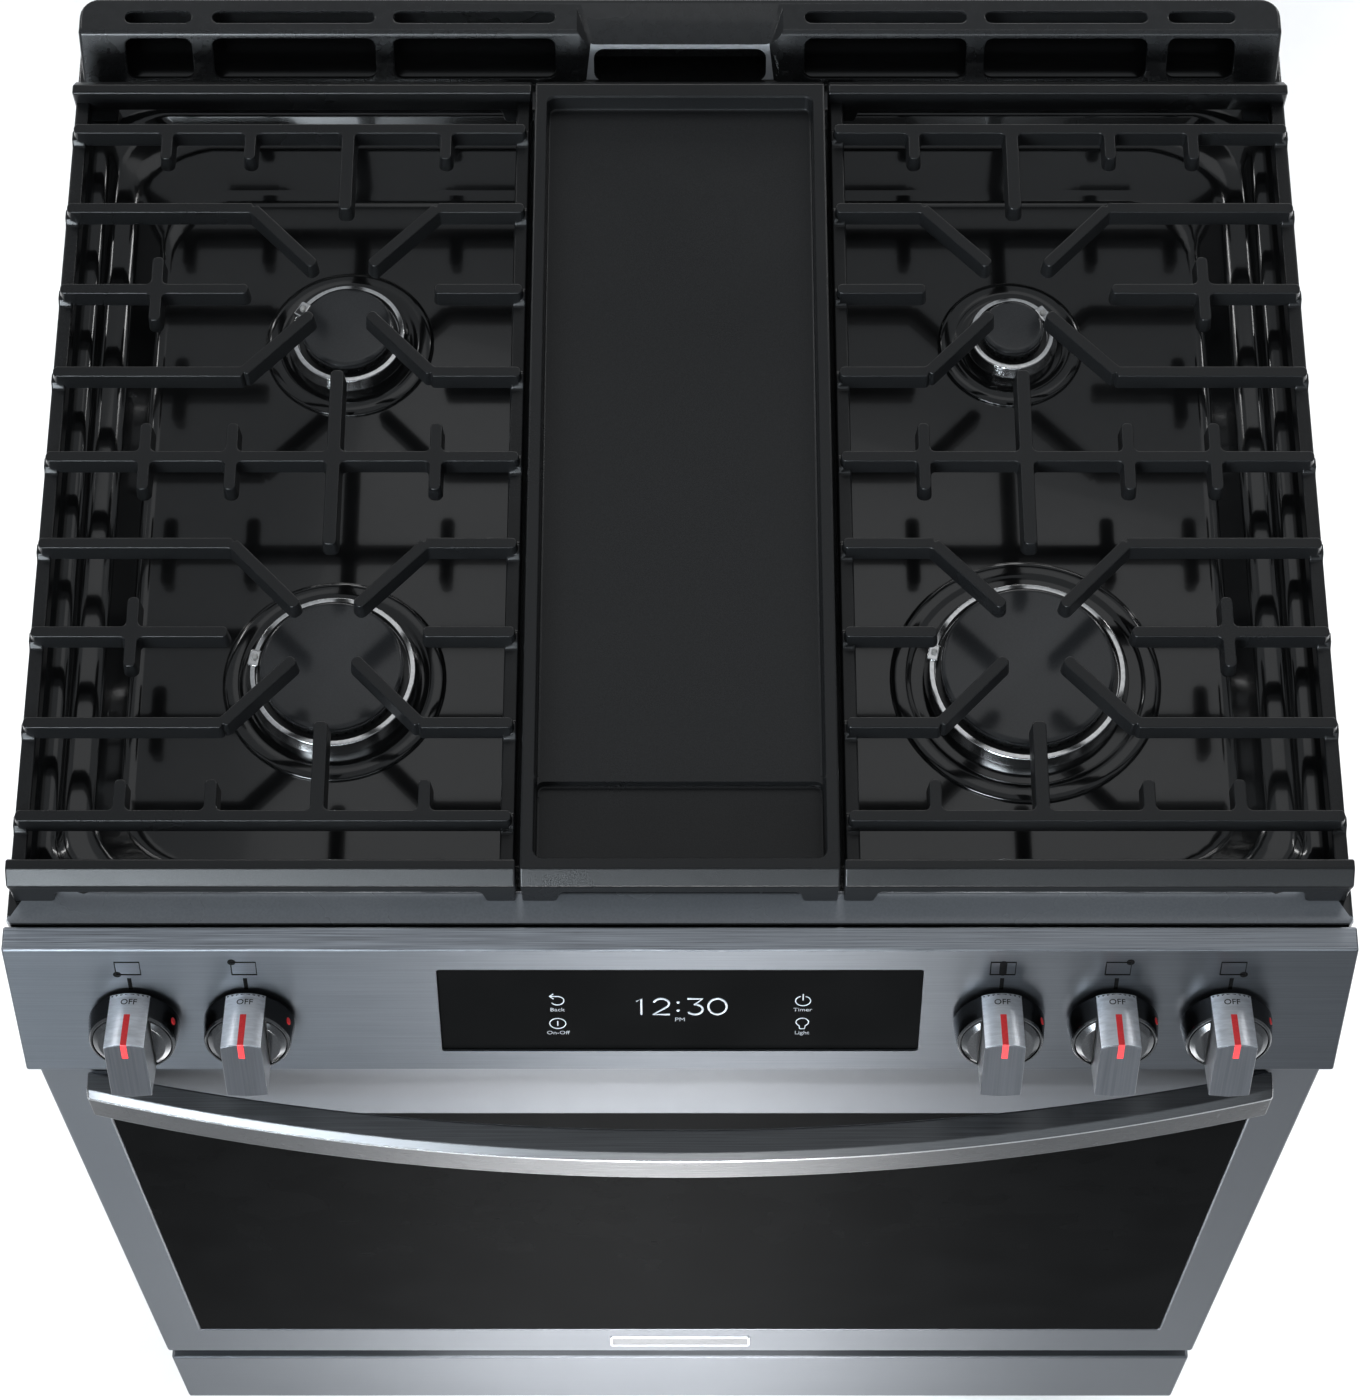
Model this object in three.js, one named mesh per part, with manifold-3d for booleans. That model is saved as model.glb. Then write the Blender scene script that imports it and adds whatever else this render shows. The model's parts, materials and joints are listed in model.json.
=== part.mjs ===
// A 30-inch front-control gas range, standing on four levelling legs.
// Millimetres. +Z is up, the door faces -Y, +X is to the right of someone facing the door, and the
// origin is on the floor, under the middle of the whole box.
import * as THREE from "three";
import { mergeVertices } from "three/addons/utils/BufferGeometryUtils.js";
import Module from "manifold-3d";

const wasm = await Module();
wasm.setup();

// ---------------------------------------------------------------- driving dimensions
const GAP = 0.3; // air left between pieces that touch
const SHEET = 2; // folded sheet metal
const CUT = 5; // how far a cutting tool runs past the face it opens

const PANEL_HALF_WIDTH = 379.5; // the control panel is the widest piece
const COOKTOP_HALF_WIDTH = 379;
const BODY_HALF_WIDTH = 376; // side panels
const DOOR_HALF_WIDTH = 376;
const BACK = 357; // rearmost face, on the rear vent
const FRONT = -357; // foremost point, the middle of the door handle
const GRATE_TOP = 930; // highest level, shared by the grates, the griddle and the rear vent

const LEG_HEIGHT = 60; // floor to the base frame
const DOOR_FACE = -299.3; // front plane of the door and the drawer
const FRAME_FACE = -258.7; // front plane of the frame that the door closes on
const SIDE_FRONT = -256.4; // front edge of the side panels
const SIDE_BACK = 352;

const COOKTOP_RIM = 897.5; // where the grates' feet stand
const WELL_FLOOR = 866;
const COOKTOP_FRONT = -257.5;

const PANEL_TOP_EDGE = { y: -275.1, z: 900.8 }; // top front edge of the sloping control panel
const PANEL_FACE_LENGTH = 110;
const PANEL_TILT = THREE.MathUtils.degToRad(17.5); // lean of the face away from vertical
const PANEL_BACK = -260.5;

const BURNER_X = 203.5;
const GRATE_MIDDLE_Y = 26.5;
const BURNER_REACH_Y = 116; // burner centre to the grates' middle bar
const BURNERS = [
  { name: "left_front", x: -BURNER_X, y: GRATE_MIDDLE_Y - BURNER_REACH_Y, radius: 48.5 },
  { name: "left_rear", x: -BURNER_X, y: GRATE_MIDDLE_Y + BURNER_REACH_Y, radius: 34.5 },
  { name: "center", x: 0, y: GRATE_MIDDLE_Y, radius: 27, stretch: 95 },
  { name: "right_rear", x: BURNER_X, y: GRATE_MIDDLE_Y + BURNER_REACH_Y, radius: 25.5 },
  { name: "right_front", x: BURNER_X, y: GRATE_MIDDLE_Y - BURNER_REACH_Y, radius: 57.5 },
];
// Knob centres across the panel, in the burners' order.
const KNOB_X = [-310.5, -245.2, 181.6, 246.3, 311];
const KNOB_DOWN = 58; // knob centre below the panel's top edge, along the face

// ---------------------------------------------------------------- solids
const AXIS_Y = new THREE.Vector3(0, 1, 0);
const AXIS_Z = new THREE.Vector3(0, 0, 1);
const AXIS_X = new THREE.Vector3(1, 0, 0);
const MERGE_DISTANCE = 1e-4;
const GRID = 1 / 1024; // points land on this grid, so faces meant to be level with each other are

// The closed solid of a three.js geometry.
function solid(geometry) {
  const bare = new THREE.BufferGeometry();
  const snapped = geometry.getAttribute("position").array.map((v) => Math.round(v / GRID) * GRID);
  bare.setAttribute("position", new THREE.BufferAttribute(snapped, 3));
  bare.setIndex(geometry.index);
  const merged = mergeVertices(bare, MERGE_DISTANCE);
  const kept = [];
  const index = merged.index.array;
  for (let i = 0; i < index.length; i += 3) {
    const [a, b, c] = [index[i], index[i + 1], index[i + 2]];
    if (a !== b && b !== c && c !== a) kept.push(a, b, c);
  }
  return new wasm.Manifold(
    new wasm.Mesh({
      numProp: 3,
      vertProperties: merged.attributes.position.array,
      triVerts: new Uint32Array(kept),
    }),
  );
}

const join = (first, ...others) => others.reduce((whole, part) => whole.add(part), first);
const cut = (first, ...tools) => tools.reduce((whole, tool) => whole.subtract(tool), first);

// A block between two values on each axis.
function block(x, y, z) {
  const geometry = new THREE.BoxGeometry(x[1] - x[0], y[1] - y[0], z[1] - z[0]);
  geometry.translate((x[0] + x[1]) / 2, (y[0] + y[1]) / 2, (z[0] + z[1]) / 2);
  return solid(geometry);
}

const wide = (half) => [-half, half];

// A block whose top rectangle may be larger or smaller than its bottom one.
function taperedBlock(bottom, top, z) {
  const geometry = new THREE.BoxGeometry(1, 1, 1);
  const place = geometry.getAttribute("position");
  for (let i = 0; i < place.count; i++) {
    const upper = place.getZ(i) > 0;
    const outline = upper ? top : bottom;
    const x = outline.x[place.getX(i) > 0 ? 1 : 0];
    const y = outline.y[place.getY(i) > 0 ? 1 : 0];
    place.setXYZ(i, x, y, z[upper ? 1 : 0]);
  }
  return solid(geometry);
}

function shapeOf(points) {
  return new THREE.Shape(points.map(([u, v]) => new THREE.Vector2(u, v)));
}

function extrude(shape, depth, basis, offset, curveSegments = 2) {
  const geometry = new THREE.ExtrudeGeometry(shape, { depth, bevelEnabled: false, curveSegments });
  geometry.applyMatrix4(new THREE.Matrix4().makeBasis(...basis));
  geometry.translate(...offset);
  return solid(geometry);
}

// An outline of [y, z] points run along X.
function prismX(points, x) {
  return extrude(shapeOf(points), x[1] - x[0], [AXIS_Y, AXIS_Z, AXIS_X], [x[0], 0, 0]);
}

// A shape in the XY plane run up along Z.
function prismZ(shape, z, curveSegments) {
  return extrude(shape, z[1] - z[0], [AXIS_X, AXIS_Y, AXIS_Z], [0, 0, z[0]], curveSegments);
}

// A shape in the XZ plane run along Y.
function prismY(shape, y, curveSegments) {
  const basis = [AXIS_X, AXIS_Z, AXIS_Y.clone().negate()];
  return extrude(shape, y[1] - y[0], basis, [0, y[1], 0], curveSegments);
}

function roundedRectangle(u, v, radius) {
  const shape = new THREE.Shape();
  shape.absarc(u[1] - radius, v[0] + radius, radius, -Math.PI / 2, 0);
  shape.absarc(u[1] - radius, v[1] - radius, radius, 0, Math.PI / 2);
  shape.absarc(u[0] + radius, v[1] - radius, radius, Math.PI / 2, Math.PI);
  shape.absarc(u[0] + radius, v[0] + radius, radius, Math.PI, 1.5 * Math.PI);
  return shape;
}

// A solid of revolution about Z, from [radius, z] points that start and end on the axis.
function turned(points, segments = 24) {
  const profile = points.map(([r, z]) => new THREE.Vector2(r, z));
  const geometry = new THREE.LatheGeometry(profile, segments);
  geometry.rotateX(Math.PI / 2);
  return solid(geometry);
}

function cylinderZ(radius, z, segments = 16) {
  return turned([[0, z[0]], [radius, z[0]], [radius, z[1]], [0, z[1]]], segments);
}

function cylinderX(radius, x) {
  return cylinderZ(radius, x).transform(matrixOf(AXIS_X, [0, 0, 0]));
}

function cylinderY(radius, y) {
  return cylinderZ(radius, y).transform(matrixOf(AXIS_Y, [0, 0, 0]));
}

// The column-major matrix that stands +Z along a direction and moves the origin to a point.
function matrixOf(direction, at) {
  const turn = new THREE.Quaternion().setFromUnitVectors(AXIS_Z, direction);
  const matrix = new THREE.Matrix4().makeRotationFromQuaternion(turn);
  matrix.setPosition(...at);
  return matrix.elements.slice();
}

function moved(shape, x, y, z) {
  return shape.translate([x, y, z]);
}

// A round tube along a smooth curve through the points.
function tube(points, radius, steps) {
  const section = new THREE.Shape();
  section.absarc(0, 0, radius, 0, 2 * Math.PI);
  const extrudePath = new THREE.CatmullRomCurve3(points.map((p) => new THREE.Vector3(...p)));
  const options = { steps, extrudePath, bevelEnabled: false, curveSegments: 4 };
  return solid(new THREE.ExtrudeGeometry(section, options));
}

// ---------------------------------------------------------------- materials
const paint = (color, roughness, metalness) => () =>
  new THREE.MeshStandardMaterial({ color, roughness, metalness });
const blackStainless = paint(0x5a5c62, 0.35, 0.9);
const castIron = paint(0x2b2c2f, 0.6, 0.3);
const glossEnamel = paint(0x101113, 0.12, 0.1);
const galvanised = paint(0x9a9d9f, 0.45, 0.8);
const aluminium = paint(0xb9bbbd, 0.3, 0.9);
const brass = paint(0xb08d4f, 0.35, 0.9);
const darkGlass = paint(0x060607, 0.05, 0.1);
const cavityEnamel = paint(0x23262e, 0.35, 0.1);
const chromeWire = paint(0xc8cacc, 0.2, 1);
const glassWool = paint(0xd9c58a, 0.95, 0);
const blackPlastic = paint(0x1a1a1c, 0.5, 0);

const range = new THREE.Group();

// Wraps a solid as a named mesh and hangs it in a group.
function piece(name, shape, material, parent = range) {
  const { vertProperties, triVerts } = shape.getMesh();
  const geometry = new THREE.BufferGeometry();
  geometry.setAttribute("position", new THREE.BufferAttribute(vertProperties, 3));
  geometry.setIndex(new THREE.BufferAttribute(triVerts, 1));
  geometry.computeVertexNormals();
  const mesh = new THREE.Mesh(geometry, material());
  mesh.name = name;
  parent.add(mesh);
}

// ---------------------------------------------------------------- base, sides and back
const LEG_X = 330;
const LEG_Y = [-225, 325];
const FOOT_RADIUS = 17;
const FOOT_HEIGHT = 9;
const FOOT_EDGE = { width: 5, drop: 3 };
const STUD_RADIUS = 5;
const BASE_HEIGHT = 16;
const STUD_TOP = LEG_HEIGHT + BASE_HEIGHT - 2;
const BASE_BAR = 45; // width of the base frame's bars
const BASE_HALF_WIDTH = BODY_HALF_WIDTH - SHEET - GAP;
const BASE_Y = [-250, 349];
const BODY_TOP = 875.7; // just under the edge of the cooktop
const FLANGE = 24; // folded edges of the side panels

function addLegs() {
  const rows = { front: LEG_Y[0], rear: LEG_Y[1] };
  for (const [row, y] of Object.entries(rows)) {
    for (const [side, sign] of [["left", -1], ["right", 1]]) {
      const leg = turned([
        [0, 0],
        [FOOT_RADIUS, 0],
        [FOOT_RADIUS, FOOT_HEIGHT - FOOT_EDGE.drop],
        [FOOT_RADIUS - FOOT_EDGE.width, FOOT_HEIGHT],
        [STUD_RADIUS, FOOT_HEIGHT],
        [STUD_RADIUS, STUD_TOP],
        [0, STUD_TOP],
      ], 16);
      piece(`leveling_leg_${row}_${side}`, moved(leg, sign * LEG_X, y, 0), blackPlastic);
    }
  }
}

function addBaseFrame() {
  const height = [LEG_HEIGHT, LEG_HEIGHT + BASE_HEIGHT];
  const ring = cut(
    block(wide(BASE_HALF_WIDTH), BASE_Y, height),
    block(wide(BASE_HALF_WIDTH - BASE_BAR - FOOT_RADIUS),
      [BASE_Y[0] + BASE_BAR, BASE_Y[1] - BASE_BAR], [height[0] - CUT, height[1] + CUT]),
  );
  const studHoles = LEG_Y.flatMap((y) => [-LEG_X, LEG_X].map((x) =>
    moved(cylinderZ(STUD_RADIUS + 0.5, [height[0] - CUT, height[1] + CUT]), x, y, 0)));
  piece("base_frame", cut(ring, ...studHoles), galvanised);
}

// One side wall with its front and rear edges folded inwards.
function sidePanel(sign) {
  const outer = sign * BODY_HALF_WIDTH;
  const inner = sign * (BODY_HALF_WIDTH - SHEET);
  const fold = sign * (BODY_HALF_WIDTH - FLANGE);
  const outline = [
    [outer, SIDE_FRONT], [outer, SIDE_BACK], [fold, SIDE_BACK], [fold, SIDE_BACK - SHEET],
    [inner, SIDE_BACK - SHEET], [inner, SIDE_FRONT + SHEET], [fold, SIDE_FRONT + SHEET],
    [fold, SIDE_FRONT],
  ];
  return prismZ(shapeOf(outline), [LEG_HEIGHT, BODY_TOP]);
}

const GAS_LINE_RADIUS = 8;
const GAS_LINE_X = 338; // where the gas line runs back and down inside the right side
const GAS_LINE_Y = 338;
const GAS_INLET_Z = 130;

function addCasing() {
  piece("left_side_panel", sidePanel(-1), galvanised);
  piece("right_side_panel", sidePanel(1), galvanised);
  const y = [SIDE_BACK + GAP, SIDE_BACK + GAP + SHEET];
  const inlet = moved(cylinderY(GAS_LINE_RADIUS + 3, [y[0] - CUT, y[1] + CUT]),
    GAS_LINE_X, 0, GAS_INLET_Z);
  const back = block(wide(BODY_HALF_WIDTH), y, [LEG_HEIGHT + SHEET, BODY_TOP]);
  piece("rear_panel", cut(back, inlet), galvanised);
}

// ---------------------------------------------------------------- oven
const OVEN_HALF_WIDTH = 300;
const OVEN_Z = [205, 728];
const OVEN_BACK = 207;
const OVEN_WALL = 3;
const OVEN_FLOOR_Z = 240;
const FRAME_Z = [176, 794];
const INSULATION_HALF_WIDTH = 326;
const INSULATION_Z = [180, 756];
const INSULATION_BACK = 234;
const RACK_Z = { lower: 330, upper: 480 };
const RACK_SUPPORTS = [330, 405, 480, 555, 630]; // five rack heights
const RACK_RIB = { depth: 8, y: [-238, 190], below: [9, 3 + GAP] }; // ribs that hold a rack up
const INSULATION_FRONT = -250;
const OVEN_FLOOR_FRONT = -252;
const FLOOR_SLOT = { x: [262, 278], y: [-200, 160], radius: 7.9 }; // lets the bake burner's heat out
const FRAME_CORNER = 18;
const HINGE_X = 333;
const HINGE_AXIS = { y: -279, z: 196 };
const HINGE_ARM = 5.5; // half height of the hinge arm and radius of its eye
const HINGE_ARM_BACK = -236;
const HINGE_THICK = 6;

function addFrontFrame() {
  const y = [FRAME_FACE, FRAME_FACE + SHEET];
  const past = [y[0] - CUT, y[1] + CUT];
  const slots = [-HINGE_X, HINGE_X].map((x) =>
    block([x - HINGE_THICK, x + HINGE_THICK], past,
      [HINGE_AXIS.z - HINGE_ARM - 2, HINGE_AXIS.z + HINGE_ARM + 2]));
  piece("front_frame", cut(
    block(wide(BODY_HALF_WIDTH - SHEET - GAP), y, FRAME_Z),
    prismY(roundedRectangle(wide(OVEN_HALF_WIDTH), [OVEN_FLOOR_Z + SHEET + 1, OVEN_Z[1]],
      FRAME_CORNER), past),
    ...slots,
  ), cavityEnamel);
}

function addOvenCavity() {
  const front = FRAME_FACE + SHEET + GAP;
  const shell = cut(
    block(wide(OVEN_HALF_WIDTH + OVEN_WALL), [front, OVEN_BACK + OVEN_WALL],
      [OVEN_Z[0] - OVEN_WALL, OVEN_Z[1] + OVEN_WALL]),
    block(wide(OVEN_HALF_WIDTH), [front - CUT, OVEN_BACK], OVEN_Z),
  );
  const ribs = RACK_SUPPORTS.flatMap((z) => [-1, 1].map((sign) => {
    const edges = [sign * (OVEN_HALF_WIDTH - RACK_RIB.depth), sign * (OVEN_HALF_WIDTH + OVEN_WALL / 2)];
    return block(edges.sort((a, b) => a - b), RACK_RIB.y, RACK_RIB.below.map((down) => z - down));
  }));
  piece("oven_cavity", join(shell, ...ribs), cavityEnamel);
}

function addInsulation() {
  const fit = 0.5;
  piece("oven_insulation", cut(
    block(wide(INSULATION_HALF_WIDTH), [INSULATION_FRONT, INSULATION_BACK], INSULATION_Z),
    block(wide(OVEN_HALF_WIDTH + OVEN_WALL + fit), [INSULATION_FRONT - CUT, OVEN_BACK + OVEN_WALL + fit],
      [OVEN_Z[0] - OVEN_WALL - fit, OVEN_Z[1] + OVEN_WALL + fit]),
  ), glassWool);
}

function addOvenFloor() {
  const y = [OVEN_FLOOR_FRONT, OVEN_BACK - 1];
  const z = [OVEN_FLOOR_Z, OVEN_FLOOR_Z + SHEET];
  const slots = [-1, 1].map((sign) => {
    const edges = FLOOR_SLOT.x.map((x) => sign * x).sort((a, b) => a - b);
    return prismZ(roundedRectangle(edges, FLOOR_SLOT.y, FLOOR_SLOT.radius), [z[0] - CUT, z[1] + CUT]);
  });
  piece("oven_floor", cut(block(wide(OVEN_HALF_WIDTH - 1), y, z), ...slots), cavityEnamel);
}

const OVEN_BURNER_RADIUS = 9;

function addOvenBurners() {
  const bakeZ = 222;
  piece("bake_burner", tube([
    [-70, 198, bakeZ], [-72, 60, bakeZ], [-72, -110, bakeZ], [-52, -172, bakeZ],
    [0, -190, bakeZ], [52, -172, bakeZ], [72, -110, bakeZ], [72, 120, bakeZ],
  ], OVEN_BURNER_RADIUS, 36), aluminium);
  const broilZ = 700;
  piece("broil_burner", tube([
    [-120, 198, broilZ], [-120, 60, broilZ], [-120, -90, broilZ], [-96, -142, broilZ],
    [0, -152, broilZ], [96, -142, broilZ], [120, -90, broilZ], [120, 120, broilZ],
  ], OVEN_BURNER_RADIUS, 36), aluminium);
}

const RACK_HALF_WIDTH = 297;
const RACK_Y = [-200, 200];
const RACK_BORDER = 6;
const RACK_WIRE = 4;
const RACK_WIRES = 16;

function rack(z) {
  const level = [z - RACK_BORDER / 2, z + RACK_BORDER / 2];
  const inner = RACK_HALF_WIDTH - RACK_BORDER;
  const border = cut(
    block(wide(RACK_HALF_WIDTH), RACK_Y, level),
    block(wide(inner), [RACK_Y[0] + RACK_BORDER, RACK_Y[1] - RACK_BORDER],
      [level[0] - CUT, level[1] + CUT]),
  );
  const wires = [];
  for (let i = 1; i <= RACK_WIRES; i++) {
    const x = -inner + (2 * inner * i) / (RACK_WIRES + 1);
    wires.push(block([x - RACK_WIRE / 2, x + RACK_WIRE / 2],
      [RACK_Y[0] + 1, RACK_Y[1] - 1], [z - RACK_WIRE / 2, z + RACK_WIRE / 2]));
  }
  const stay = block(wide(RACK_HALF_WIDTH - 1), [-2, 2], [z - 3, z + 1]);
  return join(border, stay, ...wires);
}

function addRacks() {
  for (const [level, z] of Object.entries(RACK_Z)) piece(`oven_rack_${level}`, rack(z), chromeWire);
}

// ---------------------------------------------------------------- cooktop and rear vent
const WELL_TOP = { x: wide(354), y: [-232, 288] };
const WELL_BOTTOM = { x: wide(318), y: [-206, 244] };
const SKIRT_BOTTOM = 876;

function addCooktop() {
  const edge = COOKTOP_HALF_WIDTH - SHEET;
  const slope = (WELL_TOP.x[1] - WELL_BOTTOM.x[1]) / (COOKTOP_RIM - WELL_FLOOR);
  const grow = (outline, by) => ({
    x: [outline.x[0] - by, outline.x[1] + by],
    y: [outline.y[0] - by, outline.y[1] + by],
  });
  const well = taperedBlock(grow(WELL_BOTTOM, 0), grow(WELL_TOP, slope * CUT),
    [WELL_FLOOR, COOKTOP_RIM + CUT]);
  const bowl = taperedBlock(grow(WELL_BOTTOM, SHEET), grow(WELL_TOP, SHEET),
    [WELL_FLOOR - SHEET, COOKTOP_RIM]);
  const deck = cut(
    block(wide(COOKTOP_HALF_WIDTH), [COOKTOP_FRONT, BACK - 0.5], [SKIRT_BOTTOM, COOKTOP_RIM]),
    block(wide(edge), [COOKTOP_FRONT + SHEET, BACK - 0.5 - SHEET],
      [SKIRT_BOTTOM - CUT, COOKTOP_RIM - SHEET]),
  );
  const throats = BURNERS.map((burner) =>
    moved(cylinderZ(THROAT_RADIUS + 2, [WELL_FLOOR - 20, WELL_FLOOR + CUT]), burner.x, burner.y, 0));
  piece("cooktop", cut(join(deck, bowl), well, ...throats), glossEnamel);
}

const VENT_HALF_WIDTH = 375;
const VENT_FRONT = 315;
const VENT_SHOULDER = 331; // where the front face meets the top
const VENT_BOTTOM = COOKTOP_RIM + GAP;
const VENT_CORNER = 14;
const FLUE_HALF_WIDTH = 54;
// Openings to the right of the middle, as pairs of X values; the left side mirrors them.
const VENT_OPENINGS = [[78, 179], [190.5, 292], [305, 346.5]];
const GRILLE = { z: [902, 929], radius: 5, depth: 12 };
const SLOT = { y: [338.5, 346.5], radius: 3.9, depth: 6 };
const FLUE = { z: [903, 922], depth: 14 };

// The vent's outline in plan: rounded rear corners.
function ventPlan(inset) {
  const x = VENT_HALF_WIDTH - inset;
  const back = BACK - inset;
  const radius = VENT_CORNER - inset;
  const shape = new THREE.Shape();
  shape.moveTo(-x, VENT_FRONT - CUT);
  shape.lineTo(x, VENT_FRONT - CUT);
  shape.absarc(x - radius, back - radius, radius, 0, Math.PI / 2);
  shape.absarc(-x + radius, back - radius, radius, Math.PI / 2, Math.PI);
  return shape;
}

function addRearVent() {
  const profile = (inset, bottom) => [
    [VENT_FRONT + inset, bottom],
    [BACK - inset + (inset ? 0 : CUT), bottom],
    [BACK - inset + (inset ? 0 : CUT), GRATE_TOP - inset],
    [VENT_SHOULDER + inset, GRATE_TOP - inset],
  ];
  const tall = [VENT_BOTTOM - CUT, GRATE_TOP + CUT];
  const outside = prismX(profile(0, VENT_BOTTOM), wide(VENT_HALF_WIDTH))
    .intersect(prismZ(ventPlan(0), tall, 3));
  const inside = prismX(profile(SHEET, VENT_BOTTOM - CUT), wide(VENT_HALF_WIDTH - SHEET))
    .intersect(prismZ(ventPlan(SHEET), tall, 3));
  const openings = VENT_OPENINGS.flatMap(([from, to]) => [[from, to], [-to, -from]]);
  const grilles = openings.map((x) =>
    prismY(roundedRectangle(x, GRILLE.z, GRILLE.radius), [VENT_FRONT - CUT, VENT_FRONT + GRILLE.depth]));
  const slots = openings.map((x) =>
    prismZ(roundedRectangle(x, SLOT.y, SLOT.radius), [GRATE_TOP - SLOT.depth, GRATE_TOP + CUT]));
  const flue = prismY(roundedRectangle(wide(FLUE_HALF_WIDTH), FLUE.z, GRILLE.radius),
    [VENT_FRONT - CUT, VENT_FRONT + FLUE.depth]);
  piece("rear_vent", cut(outside, inside, ...grilles, ...slots, flue), glossEnamel);
}

// ---------------------------------------------------------------- burners
const RING_TOP = 880;
const CAP_TOP = 888;
const HEAD_TAPER = 1;
const HEAD_LIP = 4; // height of the straight edge at the head's top
const THROAT_RADIUS = 12;
const THROAT_DEPTH = 18; // how far a burner's throat reaches below the well's floor
const CAP_INSET = 5; // a cap's edge inside its head's
const CAP_EDGE = { width: 3, drop: 2 };

function burnerHead(radius) {
  return turned([
    [0, WELL_FLOOR - THROAT_DEPTH],
    [THROAT_RADIUS, WELL_FLOOR - THROAT_DEPTH],
    [THROAT_RADIUS, WELL_FLOOR + GAP],
    [radius - HEAD_TAPER, WELL_FLOOR + GAP],
    [radius, RING_TOP - HEAD_LIP],
    [radius, RING_TOP],
    [0, RING_TOP],
  ]);
}

function burnerCap(radius) {
  return turned([
    [0, RING_TOP + GAP],
    [radius - CAP_INSET, RING_TOP + GAP],
    [radius - CAP_INSET, CAP_TOP - CAP_EDGE.drop],
    [radius - CAP_INSET - CAP_EDGE.width, CAP_TOP],
    [0, CAP_TOP],
  ]);
}

// A shape with straight sides and round ends, long along Y.
function stadium(radius, stretch) {
  const outline = roundedRectangle(wide(radius), wide(stretch), radius - 0.01);
  return new THREE.Shape(outline.getPoints(4));
}

function addBurners() {
  for (const { name, x, y, radius, stretch } of BURNERS) {
    let head = burnerHead(radius);
    let cap = burnerCap(radius);
    if (stretch) {
      const throat = cylinderZ(THROAT_RADIUS, [WELL_FLOOR - THROAT_DEPTH, WELL_FLOOR + 2]);
      head = join(prismZ(stadium(radius, stretch), [WELL_FLOOR + GAP, RING_TOP]), throat);
      cap = prismZ(stadium(radius - CAP_INSET, stretch - CAP_INSET), [RING_TOP + GAP, CAP_TOP]);
    }
    piece(`burner_head_${name}`, moved(head, x, y, 0), aluminium);
    piece(`burner_cap_${name}`, moved(cap, x, y, 0), glossEnamel);
  }
}

// ---------------------------------------------------------------- grates and griddle
const GRATE_X = { outer: 375.5, inner: 92 };
const GRATE_Y = [-245.6, 298.6];
const BAR_TOP_WIDTH = 7;
const BAR_BOTTOM_WIDTH = 9;
const BAR_HEIGHT = 13;
const BAR_PITCH = 58; // spacing of the cross bars along Y
const RAIL_WIDTH = 9;
const RAIL_Z = [905, 921];
const FOOT_BOTTOM = COOKTOP_RIM + GAP;
const FINGER_REACH = 22.5; // from a bar's middle to a finger's tip
const FINGER_OFFSETS = [111, 60, -60]; // fingers across a bar, from the burner outwards
const NOSE = { chamfer: 7.6, depth: 14, setBack: 1.5, drop: 19.5 };
const FOOT_TOP = GRATE_TOP - 12;
const GRATE_FOOT = { outer: 22, inner: 18, depth: [2, 14] };
const STUB_GAP = 56; // from a burner's centre to the bars that stop short of it
const ARM_GAP = 17; // from a burner's centre to the tips of the slanting arms

// A grate bar from one point to another, with sloping sides as cast.
function bar(from, to, width = BAR_TOP_WIDTH, height = BAR_HEIGHT) {
  const length = Math.hypot(to[0] - from[0], to[1] - from[1]);
  const flare = BAR_BOTTOM_WIDTH - BAR_TOP_WIDTH;
  const beam = taperedBlock(
    { x: [0, length], y: wide((width + flare) / 2) },
    { x: [0, length], y: wide(width / 2) },
    [GRATE_TOP - height, GRATE_TOP],
  );
  const turn = new THREE.Matrix4().makeRotationZ(Math.atan2(to[1] - from[1], to[0] - from[0]));
  turn.setPosition(from[0], from[1], 0);
  return beam.transform(turn.elements.slice());
}

// The outline of the front bar in [y, z]: a chamfered nose over a narrower lower edge.
function noseProfile(front, backwards) {
  const { chamfer, depth, setBack, drop } = NOSE;
  const at = (inwards, z) => [front + backwards * inwards, z];
  return [
    at(depth, GRATE_TOP), at(chamfer, GRATE_TOP), at(0, GRATE_TOP - chamfer),
    at(setBack, GRATE_TOP - drop), at(depth - 2, GRATE_TOP - drop),
  ];
}

function grateEnds(x) {
  const nose = (front, backwards) => prismX(noseProfile(front, backwards), x);
  return [nose(GRATE_Y[0], 1), nose(GRATE_Y[1], -1)];
}

// The bars around one burner: two stubs, and four arms that slant in from the next bars.
function burnerBars(sign, middle) {
  const x = (value) => sign * value;
  const [outer, inner] = [GRATE_X.outer, GRATE_X.inner];
  const beyond = BURNER_X + STUB_GAP;
  const before = BURNER_X - STUB_GAP;
  const bars = [
    bar([x(outer), middle], [x(beyond), middle]),
    bar([x(before), middle], [x(inner), middle]),
    bar([x(BURNER_X + FINGER_OFFSETS[0]), middle - FINGER_REACH],
      [x(BURNER_X + FINGER_OFFSETS[0]), middle + FINGER_REACH]),
  ];
  for (const side of [-1, 1]) {
    const y = middle + side * BAR_PITCH;
    const tip = middle + side * ARM_GAP;
    bars.push(
      bar([x(outer), y], [x(beyond + 1), y]),
      bar([x(beyond), y], [x(BURNER_X + ARM_GAP), tip]),
      bar([x(before - 1), y], [x(inner), y]),
      bar([x(before), y], [x(BURNER_X - ARM_GAP), tip]),
    );
  }
  return bars;
}

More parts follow.
